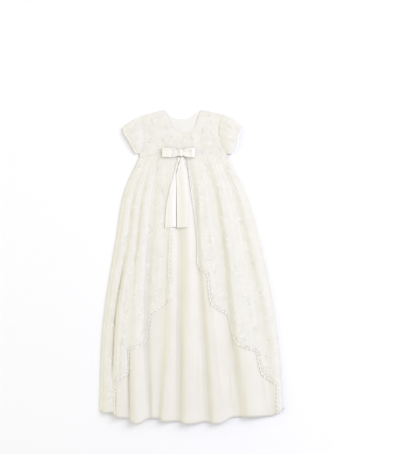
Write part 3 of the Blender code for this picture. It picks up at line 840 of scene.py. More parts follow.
def distance_to(line, x, y):
    """Each point's distance from the nearest point of a fine line."""
    nearest = np.full(len(x), np.inf)
    for start in range(0, len(line), LINE_BLOCK):
        part = line[start:start + LINE_BLOCK]
        gaps = np.hypot(x[:, None] - part[:, 0], y[:, None] - part[:, 1])
        nearest = np.minimum(nearest, gaps.min(axis=1))
    return nearest


def edge_calm(y):
    """1 where a front edge is free to lift, and 0 where the bow's tails lie over it."""
    return np.clip((EDGE_FLAT_ABOVE - y) / EDGE_FLAT_RUN, 0, 1)


def lace_offset(line, x, y):
    """The front lace's inner face from the middle surface: it lifts a little along its edge."""
    near = np.exp(-(distance_to(line, x, y) / EDGE_REACH) ** 2)
    length_x, length_y = EDGE_WAVE_LENGTHS
    wave = 1 - EDGE_WAVE + EDGE_WAVE * np.sin(y / length_y + x / length_x)
    return LACE_INNER + EDGE_LIFT * near * wave * edge_calm(y)


def inside(polygon, points):
    """Which points lie inside a closed polygon."""
    x, y = points[:, 0], points[:, 1]
    found = np.zeros(len(points), bool)
    for (x0, y0), (x1, y1) in zip(polygon, np.roll(polygon, -1, axis=0)):
        if y0 != y1:
            crosses = (y0 > y) != (y1 > y)
            found ^= crosses & (x < (x1 - x0) * (y - y0) / (y1 - y0) + x0)
    return found


def lace_front(name, edge, side, material):
    """One front of the overskirt: the folds' surface from its side seam to its scalloped edge."""
    line, _ = scallops(edge, side)
    down, across = fold_place(line[:, 0], line[:, 1])
    free = (down > 0) & (down < 1)
    down, across = down[free], across[free]
    down = np.concatenate([[0], down, [1]])
    across = np.concatenate([across[:1], across, across[-1:]])
    rows = np.linspace(0, 1, SKIRT_ROWS)
    columns = columns_across(wrapped=True)
    if side < 0:
        hem = columns[columns < across[-1]][::-1]
        top = columns[columns < across[0]]
    else:
        hem = columns[columns > across[-1]]
        top = columns[columns > across[0]][::-1]
    outline_down = np.concatenate([down, 0 * hem + 1, rows[1:-1][::-1], 0 * top])
    outline_across = np.concatenate([across, hem, 0 * rows[1:-1] + hem[-1], top])
    outline = np.stack([outline_across, outline_down], axis=1) * MESH_SCALE
    down_grid, across_grid = np.meshgrid(rows[1:-1], columns[1:-1], indexing="ij")
    inner = np.stack([across_grid.ravel(), down_grid.ravel()], axis=1) * MESH_SCALE
    inner = inner[inside(outline, inner)]
    border = np.stack([across, down], axis=1) * MESH_SCALE
    inner = inner[distance_to(border, inner[:, 0], inner[:, 1]) > MESH_CLEAR]
    places = np.concatenate([outline, inner])
    border_face = list(range(len(outline)))
    places, _, faces, *_ = delaunay_2d_cdt(
        [Vector(place) for place in places], [], [border_face], 1, MESH_MERGE
    )
    places = np.array([tuple(place) for place in places]) / MESH_SCALE
    across, down = places[:, 0], places[:, 1]
    flat = fold_surface(np.clip(down, 0, 1), np.clip(across, 0, LAST_FOLD))
    offset = lace_offset(line, flat[:, 0], flat[:, 1])
    points = skirt_points(np.clip(down, 0, 1), across, offset)
    a, b, c = (points[[face[i] for face in faces]] for i in range(3))
    upright = np.cross(b - a, c - a)[:, 2].sum() > 0
    faces = [face if upright else face[::-1] for face in faces]
    obj = new_object(name, points, faces, material)
    thicken(obj, LACE_WALL)
    return obj


def bodice_plan(neck):
    """A grid of (x, y) points over a bodice panel. The armholes' bends fade out inwards."""
    counts = [count * BODICE_FINER for count in BODICE_COLUMNS]
    top = np.concatenate([
        along(LEFT_SHOULDER, counts[0]),
        along(neck, counts[1])[1:],
        along(RIGHT_SHOULDER, counts[2])[1:],
    ])
    rows = (BODICE_ROWS - 1) * BODICE_FINER
    sides = []
    for armhole in (LEFT_ARMHOLE, RIGHT_ARMHOLE):
        x = armhole[-1][0]
        feet_y = np.linspace(armhole[-1][1], waist_y(x), BODICE_FINER + 1)[1:]
        foot = np.stack([np.full(BODICE_FINER, x), feet_y], axis=1)
        sides.append(np.concatenate([along(armhole, rows), foot]))
    left, right = sides
    feet = (left[-1, 0], *NECK_FOOT_X, right[-1, 0])
    spans = [
        np.linspace(start, end, count + 1)[1:]
        for start, end, count in zip(feet, feet[1:], counts)
    ]
    x = np.concatenate([feet[:1], *spans])
    bottom = np.stack([x, waist_y(x)], axis=1)
    down = np.linspace(0, 1, len(left))[:, None, None]
    over = np.linspace(0, 1, len(top))[None, :, None]
    ruled = (1 - down) * top + down * bottom
    left_bend = (left - ruled[:, 0])[:, None]
    right_bend = (right - ruled[:, -1])[:, None]
    return ruled + left_bend * (1 - over) ** 3 + right_bend * over**3


def with_heights(plan, z):
    """A grid of points, from a grid of (x, y) and one of heights."""
    return np.concatenate([plan, z[..., None]], axis=2)


def front_heights(plan):
    """Heights of the bodice front's inner face: low at its edges, with a puff and drag folds."""
    rows, columns = plan.shape[:2]
    down = np.linspace(0, 1, rows)[:, None]
    over = np.linspace(0, 1, columns)[None, :]
    across_power, down_power = PUFF_POWERS
    crown = (4 * over * (1 - over)) ** across_power * np.sin(math.pi * down) ** down_power
    z = BODICE_Z + BODICE_LIFT + BODICE_FOOT_RISE * down**3 + BODICE_PUFF * crown
    return z + soft_folds(plan, DRAG_FOLDS)


def soft_folds(plan, folds):
    """The rise of folds pulled across a panel, each highest at its middle."""
    rise = 0.0
    for x0, y0, x1, y1, height, half_width in folds:
        share, distance = segment_share(plan[..., 0], plan[..., 1], (x0, y0), (x1, y1))
        fade = FOLD_END_HEIGHT + (1 - FOLD_END_HEIGHT) * belly(share, FOLD_END)
        rise = rise + height * swell(distance / half_width) * fade
    return rise


def sleeve_points(top, cuff, under, armhole):
    """Rings of a puffed sleeve, from the armhole to the cuff; each ring runs round the arm."""
    share = np.linspace(0, 1, SLEEVE_ROWS)
    height = smooth(SLEEVE_SHARES, SLEEVE_HEIGHTS, share)
    angle = np.arange(SLEEVE_RING) * 2 * math.pi / SLEEVE_RING
    over = (1 - np.cos(angle)) / 2
    edges = []
    for line, places in ((top, share), (cuff, over), (under, share), (armhole, over)):
        line = along(line, SLEEVE_EDGE_STEPS)
        edges.append(at_lengths(line, np.linspace(0, 1, len(line)), places))
    top, cuff, under, armhole = edges
    away = math.copysign(ARMHOLE_GAP, cuff[0, 0] - armhole[0, 0])
    s, w = share[:, None, None], over[None, :, None]
    corners = (
        (1 - s) * ((1 - w) * top[0] + w * under[0]) + s * ((1 - w) * top[-1] + w * under[-1])
    )
    plan = (1 - s) * armhole[None] + s * cuff[None] + (1 - w) * top[:, None] + w * under[:, None]
    plan = plan - corners
    plan[..., 0] += away
    rise = np.abs(np.sin(angle)) ** SLEEVE_FLATNESS
    lower = np.minimum(1, SLEEVE_REST * rise)
    half = np.where(np.sin(angle) >= 0, 1 + rise, 1 - lower) / 2
    z = height[:, None] * half[None, :]
    upper = np.clip(2 * np.sin(angle), 0, 1)
    for place, reach, half_width, size in SLEEVE_GATHERS:
        fade = np.clip(1 - share / reach, 0, 1)[:, None]
        spread = half_width * (1 + share / reach)[:, None]
        z = z + size * fade * swell((over - place)[None, :] / spread) * upper[None, :]
    return with_heights(plan, z)


def loop_points(direction, length, y_end):
    """A bow's loop: ribbon out along the bottom, round the end and back along the top."""
    start = KNOT_X + direction * KNOT_SIZE[0] * LOOP_START
    flat = length - LOOP_RADIUS - RIBBON_WALL / 2 + KNOT_SIZE[0] * LOOP_TUCK
    out_shares = np.linspace(0, 1, LOOP_STATIONS)[:-1]
    route = [(share * flat, 0.0) for share in out_shares]
    for angle in np.linspace(-math.pi / 2, math.pi / 2, LOOP_END_STEPS):
        route.append((flat + LOOP_RADIUS * math.cos(angle), LOOP_RADIUS * (1 + math.sin(angle))))
    route += [(share * flat, 2 * LOOP_RADIUS) for share in out_shares[::-1]]
    rows = []
    across = np.linspace(1, -1, LOOP_COLUMNS)
    inner, outer = LOOP_HALF_WIDTHS
    for out, up in route:
        share = min(1.0, out / length)
        widening = math.sin(min(1.0, share / LOOP_FULL_WIDTH) * math.pi / 2)
        half = inner + (outer - inner) * widening
        x = np.full(len(across), start + direction * out)
        y = KNOT_Y + (y_end - KNOT_Y) * share + half * across
        pinch = max(0.0, 1 - share / PINCH_RUN) ** 2
        lift = max(0.0, (share - LOOP_LIFT_FROM) / (1 - LOOP_LIFT_FROM)) ** 2
        z = LOOP_Z + RIBBON_WALL / 2 + up * (1 - PINCH_FLATTER * pinch) + PINCH_LIFT * pinch
        z = z + LOOP_END_LIFT * lift
        upper = up / (2 * LOOP_RADIUS)
        waves = np.cos(across * LOOP_PLEAT_RATE + LOOP_PLEAT_START)
        pleat = LOOP_PLEAT * (1 - share) * waves * upper
        for x0, y0, x1, y1, half_width, height in LOOP_FOLDS:
            _, distance = segment_share(x, y, (x0, y0), (x1, y1))
            pleat = pleat + upper * height * swell(distance / half_width)
        rows.append(np.stack([x, y, z + pleat], axis=1))
    return np.array(rows)


def knot_points():
    """The ribbon wound round the bow's middle: rings round X, from one side to the other."""
    angle = np.arange(KNOT_RING) * 2 * math.pi / KNOT_RING
    cos, sin = np.cos(angle), np.sin(angle)
    round_y = np.sign(cos) * np.abs(cos) ** KNOT_SQUARE
    round_z = np.sign(sin) * np.abs(sin) ** KNOT_SQUARE
    width, size_y, size_z = KNOT_SIZE
    taper_y, taper_z = KNOT_TAPER
    rows = []
    for share in np.linspace(-1, 1, KNOT_ROWS):
        y = round_y * (size_y / 2 * (1 - taper_y * share**2))
        z = round_z * (size_z / 2 * (1 - taper_z * share**2))
        crease = KNOT_CREASE * math.cos(share * KNOT_CREASE_RATE) * np.clip(sin, 0, 1)
        x = np.full(KNOT_RING, KNOT_X + share * width / 2)
        rows.append(np.stack([x, KNOT_Y + y, KNOT_Z + size_z / 2 + z + crease], axis=1))
    return np.array(rows)


def tail_points(sides, bridge):
    """A tail of the bow, laid on the skirts: pleated under the knot and nearly flat lower down.
    bridge is how far it spans the folds under it instead of following them, from 0 to 1."""
    left, right = (along(side, TAIL_ROWS - 1) for side in sides)
    over = np.linspace(0, 1, TAIL_COLUMNS)
    plan = left[:, None] * (1 - over)[None, :, None] + right[:, None] * over[None, :, None]
    down, across = fold_place(plan[..., 0].ravel(), plan[..., 1].ravel())
    share = np.linspace(0, 1, TAIL_ROWS)[:, None]
    waves = (1 + np.cos(over * TAIL_PLEAT_WAVES * 2 * math.pi))[None, :] / 2
    pleat = TAIL_PLEAT * np.exp(-share * TAIL_PLEAT_FADE) * waves
    rate, phase = TAIL_CURL_WAVE
    uneven = TAIL_CURL_EVEN + (1 - TAIL_CURL_EVEN) * np.sin(share * rate + phase) ** 2
    curl = TAIL_CURL * (2 * over - 1)[None, :] ** 2 * uneven
    offset = RIBBON_INNER + pleat + curl
    points = skirt_points(down, across, offset.ravel()).reshape(TAIL_ROWS, TAIL_COLUMNS, 3)
    highest = points[..., 2].max(axis=1, keepdims=True)
    points[..., 2] += bridge * (highest - points[..., 2])
    return points


def node(tree, kind, inputs=(), **settings):
    """A shader node with its settings, and each input given set or linked."""
    made = tree.nodes.new(kind)
    for key, value in settings.items():
        setattr(made, key, value)
    for name, value in dict(inputs).items():
        if isinstance(value, bpy.types.NodeSocket):
            tree.links.new(value, made.inputs[name])
        else:
            made.inputs[name].default_value = value
    return made


def maths(tree, operation, first, second=0.0):
    return node(tree, "ShaderNodeMath", {0: first, 1: second}, operation=operation).outputs[0]


def blend_colours(tree, share, low, high):
    made = node(tree, "ShaderNodeMix", data_type="RGBA", clamp_factor=True)
    tree.links.new(share, made.inputs[0])
    made.inputs[6].default_value = (*low, 1.0)
    made.inputs[7].default_value = (*high, 1.0)
    return made.outputs[2]


def remap(tree, value, from_low, from_high, low, high):
    """The value carried smoothly from one range to another, and held at its ends."""
    inputs = {"Value": value, "From Min": from_low, "From Max": from_high, "To Min": low,
              "To Max": high}
    return node(tree, "ShaderNodeMapRange", inputs, interpolation_type="SMOOTHSTEP").outputs[0]


def noise(tree, place, scale, detail=2.0, stretch=(1.0, 1.0, 1.0)):
    """Noise of that scale, in features a metre, on the object's own coordinates."""
    mapping = node(tree, "ShaderNodeMapping", {"Vector": place, "Scale": stretch})
    inputs = {"Vector": mapping.outputs[0], "Scale": scale, "Detail": detail}
    return node(tree, "ShaderNodeTexNoise", inputs).outputs[0]


def new_material(name, sheen=0.0, sheen_roughness=0.5):
    """A material with a Principled shader, and the object's coordinates to build on."""
    material = bpy.data.materials.new(name)
    material.use_nodes = True
    tree = material.node_tree
    shader = tree.nodes["Principled BSDF"]
    shader.inputs["Sheen Weight"].default_value = sheen
    shader.inputs["Sheen Roughness"].default_value = sheen_roughness
    place = node(tree, "ShaderNodeTexCoord").outputs["Object"]
    return material, tree, shader, place


def add_bump(tree, shader, height, strength, distance):
    bump = node(tree, "ShaderNodeBump", {"Height": height, "Strength": strength,
                                         "Distance": distance})
    tree.links.new(bump.outputs[0], shader.inputs["Normal"])


def net_cover(tree, place):
    """1 on the threads of a hexagonal net and 0 in its open mesh."""
    reach = 4 * math.pi / (math.sqrt(3) * NET_PITCH)
    total = 0.0
    for angle in (0, 60, 120):
        turn = math.radians(angle)
        way = (reach * math.cos(turn), reach * math.sin(turn), 0.0)
        phase = node(tree, "ShaderNodeVectorMath", {0: place, 1: way}, operation="DOT_PRODUCT")
        total = maths(tree, "ADD", maths(tree, "COSINE", phase.outputs["Value"]), total)
    return remap(tree, total, *NET_FADE)


def paint(tree, shader, shade, deep, colour, rough):
    """The shader's colour, from a deep to a light one by shade, and its roughness."""
    tree.links.new(blend_colours(tree, shade, deep, colour), shader.inputs["Base Color"])
    tree.links.new(rough, shader.inputs["Roughness"])


def lace_look(name, colour, deep, alpha):
    material, tree, shader, place = new_material(name, sheen=LACE_SHEEN)
    cover = net_cover(tree, place)
    patches = noise(tree, place, LACE_PATCHES, PATCH_DETAIL)
    # The open mesh takes the deep colour: the net's pattern, and painted shade in its holes; random
    # patches also vary the tone
    shade = maths(tree, "ADD", cover, remap(tree, patches, *LACE_PATCH_SHADES))
    rough = remap(tree, noise(tree, place, LACE_FUZZ), *LACE_ROUGHNESS)
    paint(tree, shader, shade, deep, colour, rough)
    if alpha:
        tree.links.new(remap(tree, cover, *NET_OPENING), shader.inputs["Alpha"])
    add_bump(tree, shader, cover, *NET_BUMP)
    return material


def net_lace_material():
    """Lace net that the satin shows through."""
    return lace_look("lace", LACE_COLOUR, LACE_DEEP_COLOUR, alpha=True)


def backed_lace_material():
    """The same lace mounted on a plain cloth of its colour."""
    return lace_look("backed_lace", BACKED_COLOUR, BACKED_DEEP_COLOUR, alpha=False)


def woven_material(name, colour, deep, grain, roughness, bump, sheen):
    """A woven cloth: fine threads, slubs and a soft unevenness of colour and gloss."""
    material, tree, shader, place = new_material(name, sheen=sheen)
    threads = noise(tree, place, 1.0, stretch=grain)
    patches = noise(tree, place, WOVEN_PATCHES, PATCH_DETAIL)
    mixed = maths(tree, "ADD", maths(tree, "MULTIPLY", threads, WOVEN_THREAD_SHARE), patches)
    shade = remap(tree, mixed, *WOVEN_SHADES)
    rough = remap(tree, mixed, *WOVEN_ROUGHNESS_FROM, *roughness)
    paint(tree, shader, shade, deep, colour, rough)
    add_bump(tree, shader, threads, bump, WOVEN_RELIEF)
    return material


def thread_material(name, colour, deep, scale):
    """Smooth embroidery cotton, with its laid strands as a fine relief."""
    material, tree, shader, place = new_material(name, sheen=THREAD_SHEEN)
    strands = noise(tree, place, scale, stretch=THREAD_STRETCH)
    dyed = remap(tree, noise(tree, place, THREAD_PATCHES), *THREAD_PATCH_SHADES)
    shade = maths(tree, "ADD", remap(tree, strands, *THREAD_STRAND_SHADES), dyed)
    paint(tree, shader, shade, deep, colour, remap(tree, strands, *THREAD_ROUGHNESS))
    add_bump(tree, shader, strands, *THREAD_BUMP)
    return material


def floor_material():
    """A plain pale studio floor."""
    material, tree, shader, place = new_material("floor_paint")
    speckle = noise(tree, place, FLOOR_SPECKLE)
    deep = tuple(value * FLOOR_DEEPER for value in FLOOR_COLOUR)
    shade = remap(tree, speckle, *FLOOR_SHADES)
    rough = remap(tree, speckle, *FLOOR_ROUGHNESS)
    paint(tree, shader, shade, deep, FLOOR_COLOUR, rough)
    return material


def rope(name, line, half, material, slot="lace", twisted=False):
    """A cord or piping along a line of points, with an oval section: half its width and height."""
    line = np.asarray(line, float)
    marks = lengths_along(line)
    count = max(CORD_FEWEST_STEPS, round(marks[-1] / CORD_STEP))
    steps = np.linspace(0, marks[-1], count + 1)
    line = at_lengths(line, marks, steps)
    tangent = unit(np.gradient(line, axis=0))
    side = unit(np.cross(tangent, (0, 0, 1)))
    rise = np.cross(side, tangent)
    angle = np.arange(CORD_SIDES) * 2 * math.pi / CORD_SIDES
    size = 1.0
    if twisted:
        size = 1 + CORD_TWIST * np.cos(2 * angle[None] - 2 * math.pi * steps[:, None] / CORD_PITCH)
    across = (np.cos(angle)[None] * size * half[0])[..., None] * side[:, None]
    up = (np.sin(angle)[None] * size * half[1])[..., None] * rise[:, None]
    points = (line[:, None] + across + up).reshape(-1, 3)
    faces = grid_faces(count + 1, CORD_SIDES, ring=True)
    first = list(range(CORD_SIDES))
    faces += [first, [count * CORD_SIDES + i for i in reversed(first)]]
    return on_body(new_object(name, points, faces, material), slot)


def leaf_patch(start, turn, length, width):
    """A padded leaf or petal: a grid of (x, y, height) from its foot to its tip."""
    rows, columns = LEAF_GRID
    share = np.linspace(0, 1, rows)[:, None]
    over = np.linspace(-1, 1, columns)[None, :]
    half = width / 2 * np.sin(math.pi * share**LEAF_FULLEST) ** LEAF_BLUNT + LEAF_TIP
    reach = length * share + 0 * over
    side = half * over
    dome = (1 - over**2) * belly(share, LEAF_END)
    vein = LEAF_VEIN * np.exp(-(over / LEAF_VEIN_WIDTH) ** 2)
    height = SPRAY_RISE * dome * (1 - vein) - SPRAY_SINK
    height[:, [0, -1]] = -SPRAY_SINK
    cos, sin = math.cos(turn), math.sin(turn)
    x = start[0] + reach * cos - side * sin
    y = start[1] + reach * sin + side * cos
    return np.stack([x, y, height], axis=2)


def stem_patch(line, width):
    """A padded line of stitches along points (x, y)."""
    line = np.asarray(line, float)
    run = unit(np.gradient(line, axis=0))
    normal = np.stack([-run[:, 1], run[:, 0]], axis=1)
    columns = []
    for over, height in ((-1, -SPRAY_SINK), (0, SPRAY_RISE * STEM_RISE), (1, -SPRAY_SINK)):
        places = line + normal * over * width / 2
        columns.append(np.concatenate([places, np.full((len(line), 1), height)], axis=1))
    return np.stack(columns, axis=1)


def heading(degrees):
    """A turn in radians, and the unit vector that points that way."""
    turn = math.radians(degrees)
    return turn, np.array([math.cos(turn), math.sin(turn)])


def spray_patches(scale):
    """One spray about its own middle: a flower, a curved stem, leaves and buds."""
    patches = []
    for number in range(PETALS):
        turn, way = heading(90 + 360 / PETALS * number)
        foot = scale * (np.array([0.0, FLOWER_Y]) + PETAL_FOOT * way)
        patches.append(leaf_patch(foot, turn, PETAL_SIZE[0] * scale, PETAL_SIZE[1] * scale))
    steps = np.linspace(0, 1, STEM_POINTS)
    bend_x = STEM_BEND * np.sin(steps * STEM_BEND_TURN)
    stem = np.stack([bend_x, STEM_TOP - STEM_LENGTH * steps], axis=1) * scale
    patches.append(stem_patch(stem, STEM_WIDTH * scale))
    for place, side, length in LEAVES:
        turn, _ = heading(-90 + side * LEAF_TURN)
        patches.append(leaf_patch(stem[place], turn, length * scale, LEAF_WIDTH * scale))
    for place, side in BUDS:
        turn, way = heading(90 - side * BUD_TURN)
        tip = stem[place] + BUD_STALK * scale * way
        stalk = np.linspace(stem[place], tip, BUD_STALK_POINTS)
        patches.append(stem_patch(stalk, BUD_STALK_WIDTH * scale))
        patches.append(leaf_patch(tip, turn, BUD_SIZE[0] * scale, BUD_SIZE[1] * scale))
    return patches


def embroidery(name, sprays, surface, holds, material, below=False):
    """Sprays joined into one mesh. surface(x, y, height) gives points on the cloth, and only
    what lies where holds(x, y) says that there is cloth is made."""
    flat, faces, start = [], [], 0
    for x, y, turn, scale in sprays:
        turn = math.radians(turn - 90)
        cos, sin = math.cos(turn), math.sin(turn)
        for patch in spray_patches(scale):
            rows, columns = patch.shape[:2]
            px, py = patch[..., 0].ravel(), patch[..., 1].ravel()
            px, py = x + px * cos - py * sin, y + px * sin + py * cos
            if not holds(px, py).all():
                continue
            flat.append(np.stack([px, py, patch[..., 2].ravel()], axis=1))
            faces += [tuple(start + i for i in face) for face in grid_faces(rows, columns)]
            start += rows * columns
    return sew_on(name, np.concatenate(flat), faces, surface, material, below)


def sew_on(name, flat, faces, surface, material, below=False):
    """One mesh of points (x, y, height) laid on a surface, with some thickness under them."""
    points = surface(*flat.T)
    obj = new_object(name, points, facing(points, faces, below), material)
    thicken(obj, SPRAY_WALL, -1.0)
    return on_body(obj, "lace")


def facing(points, faces, below=False):
    """The faces, each turned to face up, or down below the cloth."""
    turned = []
    for face in faces:
        a, b, c = points[face[0]], points[face[1]], points[face[2]]
        up = (b[0] - a[0]) * (c[1] - a[1]) - (b[1] - a[1]) * (c[0] - a[0]) >= 0
        turned.append(face if up != below else face[::-1])
    return turned


def skirt_surface(offset_at):
    """Gives points above a face of the skirt that lies offset_at(x, y, down) off its middle."""
    def surface(x, y, height):
        down, across = fold_place(x, y)
        return skirt_points(down, across, offset_at(x, y, down) + height)
    return surface


def front_lace_surface(line):
    """Gives points above the outer face of a lace front whose scalloped edge is that line."""
    return skirt_surface(lambda x, y, down: lace_offset(line, x, y) + LACE_WALL)


def skirt_holds(x, y):
    """Says which points (x, y) lie on the skirt, clear of its waist, hem and sides."""
    down, across = fold_place(x, y)
    top, foot = SPRAY_ROWS_FREE
    from_side = np.minimum(across, LAST_FOLD - across)
    return (down > top) & (down < foot) & (from_side > SPRAY_SIDE_FREE)


def lace_holds(line, side):
    """Says which points (x, y) lie on a lace front, clear of its edges."""
    far_corners = [(side * LACE_FAR_X, y) for y in LACE_FAR_Y]
    polygon = np.concatenate([line, far_corners])

    def holds(x, y):
        clear = distance_to(line, x, y) > SPRAY_MARGIN
        return skirt_holds(x, y) & clear & inside(polygon, np.stack([x, y], axis=1))
    return holds


def back_lace_surface(x, y, height):
    """Points under the outer face of the lace back."""
    down, across = fold_place(x, y)
    return skirt_points(down, across, -(LACE_BACK_INNER + LACE_WALL + BACK_SPRAY_SHARE * height))


def shell_surface(points, wall, below=False):
    """Gives points above a shell that is a grid of points, found straight down from above, or
    under it, straight up from below. holds says where the shell is."""
    rows, columns = points.shape[:2]
    tree = BVHTree.FromPolygons(points.reshape(-1, 3).tolist(), grid_faces(rows, columns))
    start = -PROBE_Z if below else PROBE_Z
    way = Vector((0, 0, 1 if below else -1))

    def surface(x, y, height):
        found = []
        for px, py, ph in zip(x, y, np.broadcast_to(height, x.shape)):
            place, normal, _, _ = tree.ray_cast(Vector((px, py, start)), way)
            if place is None:
                place, normal, _, _ = tree.find_nearest(Vector((px, py, NEAR_Z)))
            away = normal if normal.dot(way) < 0 else -normal
            found.append(place + away * (wall + ph))
        return np.array(found)

    def holds(x, y):
        hits = [tree.ray_cast(Vector((px, py, start)), way)[0] for px, py in zip(x, y)]
        return np.array([hit is not None for hit in hits])
    return surface, holds


def stitches(name, line, surface, material):
    """A row of running stitches along a line of points (x, y), joined into one mesh."""
    marks = lengths_along(line)
    length, width, height = STITCH_SIZE
    count = int(marks[-1] / STITCH_PITCH)
    places, faces = [], []
    for number in range(count):
        start = (number + STITCH_START) * STITCH_PITCH
        centre = at_lengths(line, marks, start + STITCH_PLACES * length)
        run = unit(centre[-1:] - centre[:1])
        normal = np.array([-run[0, 1], run[0, 0]])
        for share, spot in zip(STITCH_SHARES, centre):
            for over, rise in ((-1, -STITCH_SINK), (0, height * share), (1, -STITCH_SINK)):
                place = spot + normal * over * width / 2 * max(share, STITCH_END_WIDTH)
                places.append((*place, rise))
        base = number * len(STITCH_SHARES) * 3
        stitch = grid_faces(len(STITCH_SHARES), 3)
        faces += [tuple(base + i for i in face) for face in stitch]
    return sew_on(name, np.array(places), faces, surface, material)


def edge_cord(name, edge, side, material):
    """The corded edging of a lace front. It follows the scallops, a little in from their edge."""
    line, outward = scallops(edge, side)
    place = line - outward * CORD_INSET
    down, across = fold_place(place[:, 0], place[:, 1])
    free = (down > 0) & (down < 1)
    rise = LACE_WALL / 2 + CORD_FREE_RISE * edge_calm(place[:, 1])
    offset = lace_offset(line, place[:, 0], place[:, 1]) + rise
    return rope(name, skirt_points(down, across, offset)[free], CORD_HALF, material, twisted=True)


def satin_offset(down):
    """The satin front's inner face from the middle surface. Its hem is folded, so it is thicker."""
    hem = np.clip((down - HEM_DOWN) / HEM_EASE, 0, 1)
    return SATIN_INNER + HEM_STEP * hem


def hem_stitches(material):
    """Hand stitches along the top of the satin front's hem."""
    across = np.linspace(HEM_SIDE_FREE, LAST_FOLD - HEM_SIDE_FREE, HEM_POINTS)
    line = fold_surface(np.full(HEM_POINTS, HEM_DOWN + HEM_EASE), across)[:, :2]
    surface = skirt_surface(lambda x, y, down: satin_offset(down) + SATIN_WALL)
    return stitches("hem_stitches", line, surface, material)


def make_skirts(satin, lace, thread, cord):
    width, length, area = SKIRT_CUT
    front_grid = skirt_grid(satin_offset(np.linspace(0, 1, SKIRT_ROWS)))
    front = cloth("satin_front", "skirt_front", front_grid, SATIN_WALL, satin, "satin")
    back_grid = skirt_grid(-SATIN_INNER)
    back = cloth("satin_back", "skirt_back", back_grid, SATIN_WALL, satin, "satin", grow=-1.0)
    lace_grid = skirt_grid(-LACE_BACK_INNER, wrapped=True)
    lace_back = cloth(
        "lace_back", "overskirt_back", lace_grid, LACE_WALL, lace, "lace", grow=-1.0
    )
    pitch_x, pitch_y = BACK_SPRAY_PITCH
    sprays = [
        (x + (row % 2) * pitch_x / 2, y, BACK_SPRAY_TURNS[(row + column) % 2], BACK_SPRAY_SCALE)
        for row, y in enumerate(np.arange(*BACK_SPRAY_Y, pitch_y))
        for column, x in enumerate(np.arange(*BACK_SPRAY_X, pitch_x))
    ]
    back_sprays = embroidery(
        "sprays_back", sprays, back_lace_surface, skirt_holds, thread, below=True
    )
    hem = hem_stitches(thread)
    fronts = (
        ("left", LEFT_FRONT_EDGE, -1, LEFT_SPRAYS, LEFT_LACE_CUT),
        ("right", RIGHT_FRONT_EDGE, 1, RIGHT_SPRAYS, RIGHT_LACE_CUT),
    )
    for hand, edge, side, places, (width, length, area) in fronts:
        piece = lace_front("lace_front_" + hand, edge, side, lace)
        on_body(piece, "lace", "overskirt_" + hand)
        line, _ = scallops(edge, side)
        border = edge_cord("edge_cord_" + hand, edge, side, cord)
        motifs = embroidery(
            "sprays_" + hand, places, front_lace_surface(line), lace_holds(line, side), thread
        )


def raised(line, rise, shift=0.0):
    """A line of points lifted, and moved along X."""
    return np.asarray(line) + np.array([shift, 0.0, rise])


def make_bodice(lace, lining, thread, piping):
    first_neck = BODICE_COLUMNS[0] * BODICE_FINER
    last_neck = -BODICE_COLUMNS[2] * BODICE_FINER
    plan = bodice_plan(FRONT_NECK)
    front = with_heights(plan, front_heights(plan))
    piece = cloth("bodice_lace_front", "bodice_front", front, BODICE_WALL, lace, "lace")
    surface, holds = shell_surface(front, BODICE_WALL)
    mid_wall = BODICE_WALL / 2
    trims = [
        rope("piping_neck_front", raised(front[0, first_neck:last_neck], mid_wall), BINDING_HALF,
             piping, twisted=True),
        rope("seam_shoulder_left", raised(front[0, :first_neck + 1], SHOULDER_DROP),
             SHOULDER_HALF, thread),
        rope("seam_shoulder_right", raised(front[0, last_neck - 1:], SHOULDER_DROP),
             SHOULDER_HALF, thread),
        rope("piping_armhole_left", raised(front[:, 0], BODICE_WALL, -PIPING_SHIFT),
             PIPING_HALF, piping),
        rope("piping_armhole_right", raised(front[:, -1], BODICE_WALL, PIPING_SHIFT),
             PIPING_HALF, piping),
        rope("piping_waist", raised(front[-1], WAIST_PIPING_RISE), WAIST_PIPING_HALF, piping),
        stitches("neck_stitches", front[NECK_STITCH_ROW, first_neck:last_neck, :2], surface,
                 thread),
        embroidery("sprays_bodice", BODICE_SPRAYS, surface, holds, thread),
    ]
    plan = bodice_plan(BACK_NECK)
    back_rise = soft_folds(plan, BACK_FOLDS)
    back = with_heights(plan, BACK_Z + back_rise)
    piece = cloth("bodice_lace_back", "bodice_back", back, BACK_WALL, lace, "lace")
    surface, holds = shell_surface(back, -BACK_SPRAY_FLATTER, below=True)
    neck_z = (LINING_Z + LINING_WALL - BACK_Z) / 2
    trims = [
        rope("piping_neck_back", raised(back[0, first_neck:last_neck], neck_z), BACK_BINDING_HALF,
             piping, twisted=True),
        embroidery("sprays_bodice_back", BODICE_BACK_SPRAYS, surface, holds, thread, below=True),
    ]
    points = with_heights(plan, LINING_Z + back_rise)
    piece = cloth("lining_back", "back_lining", points, LINING_WALL, lining, "lining")


def make_sleeves(lace, thread, cord):
    for name, top, cuff, under, armhole in SLEEVES:
        points = sleeve_points(top, cuff, under, armhole)
        surface, holds = shell_surface(points, 0.0)
        if name == "sleeve_right":
            points = points[:, ::-1]
        sleeve = cloth(
            name + "_lace", name, points, SLEEVE_WALL, lace, "lace", grow=-1.0, ring=True
        )
        edge = points[-1].copy()
        edge[:, 2] = np.maximum(edge[:, 2], CUFF_HALF[1] + SLEEVE_CLEAR)
        upper = points[CUFF_STITCH_RING, edge[:, 2] > edge[:, 2].mean(), :2]
        trims = [
            rope("piping_" + name, np.concatenate([edge, edge[:1]]), CUFF_HALF, cord,
                 twisted=True),
            stitches("stitches_" + name, upper[np.argsort(upper[:, 1])], surface, thread),
            embroidery("sprays_" + name, SLEEVE_SPRAYS[name], surface, holds, thread),
        ]


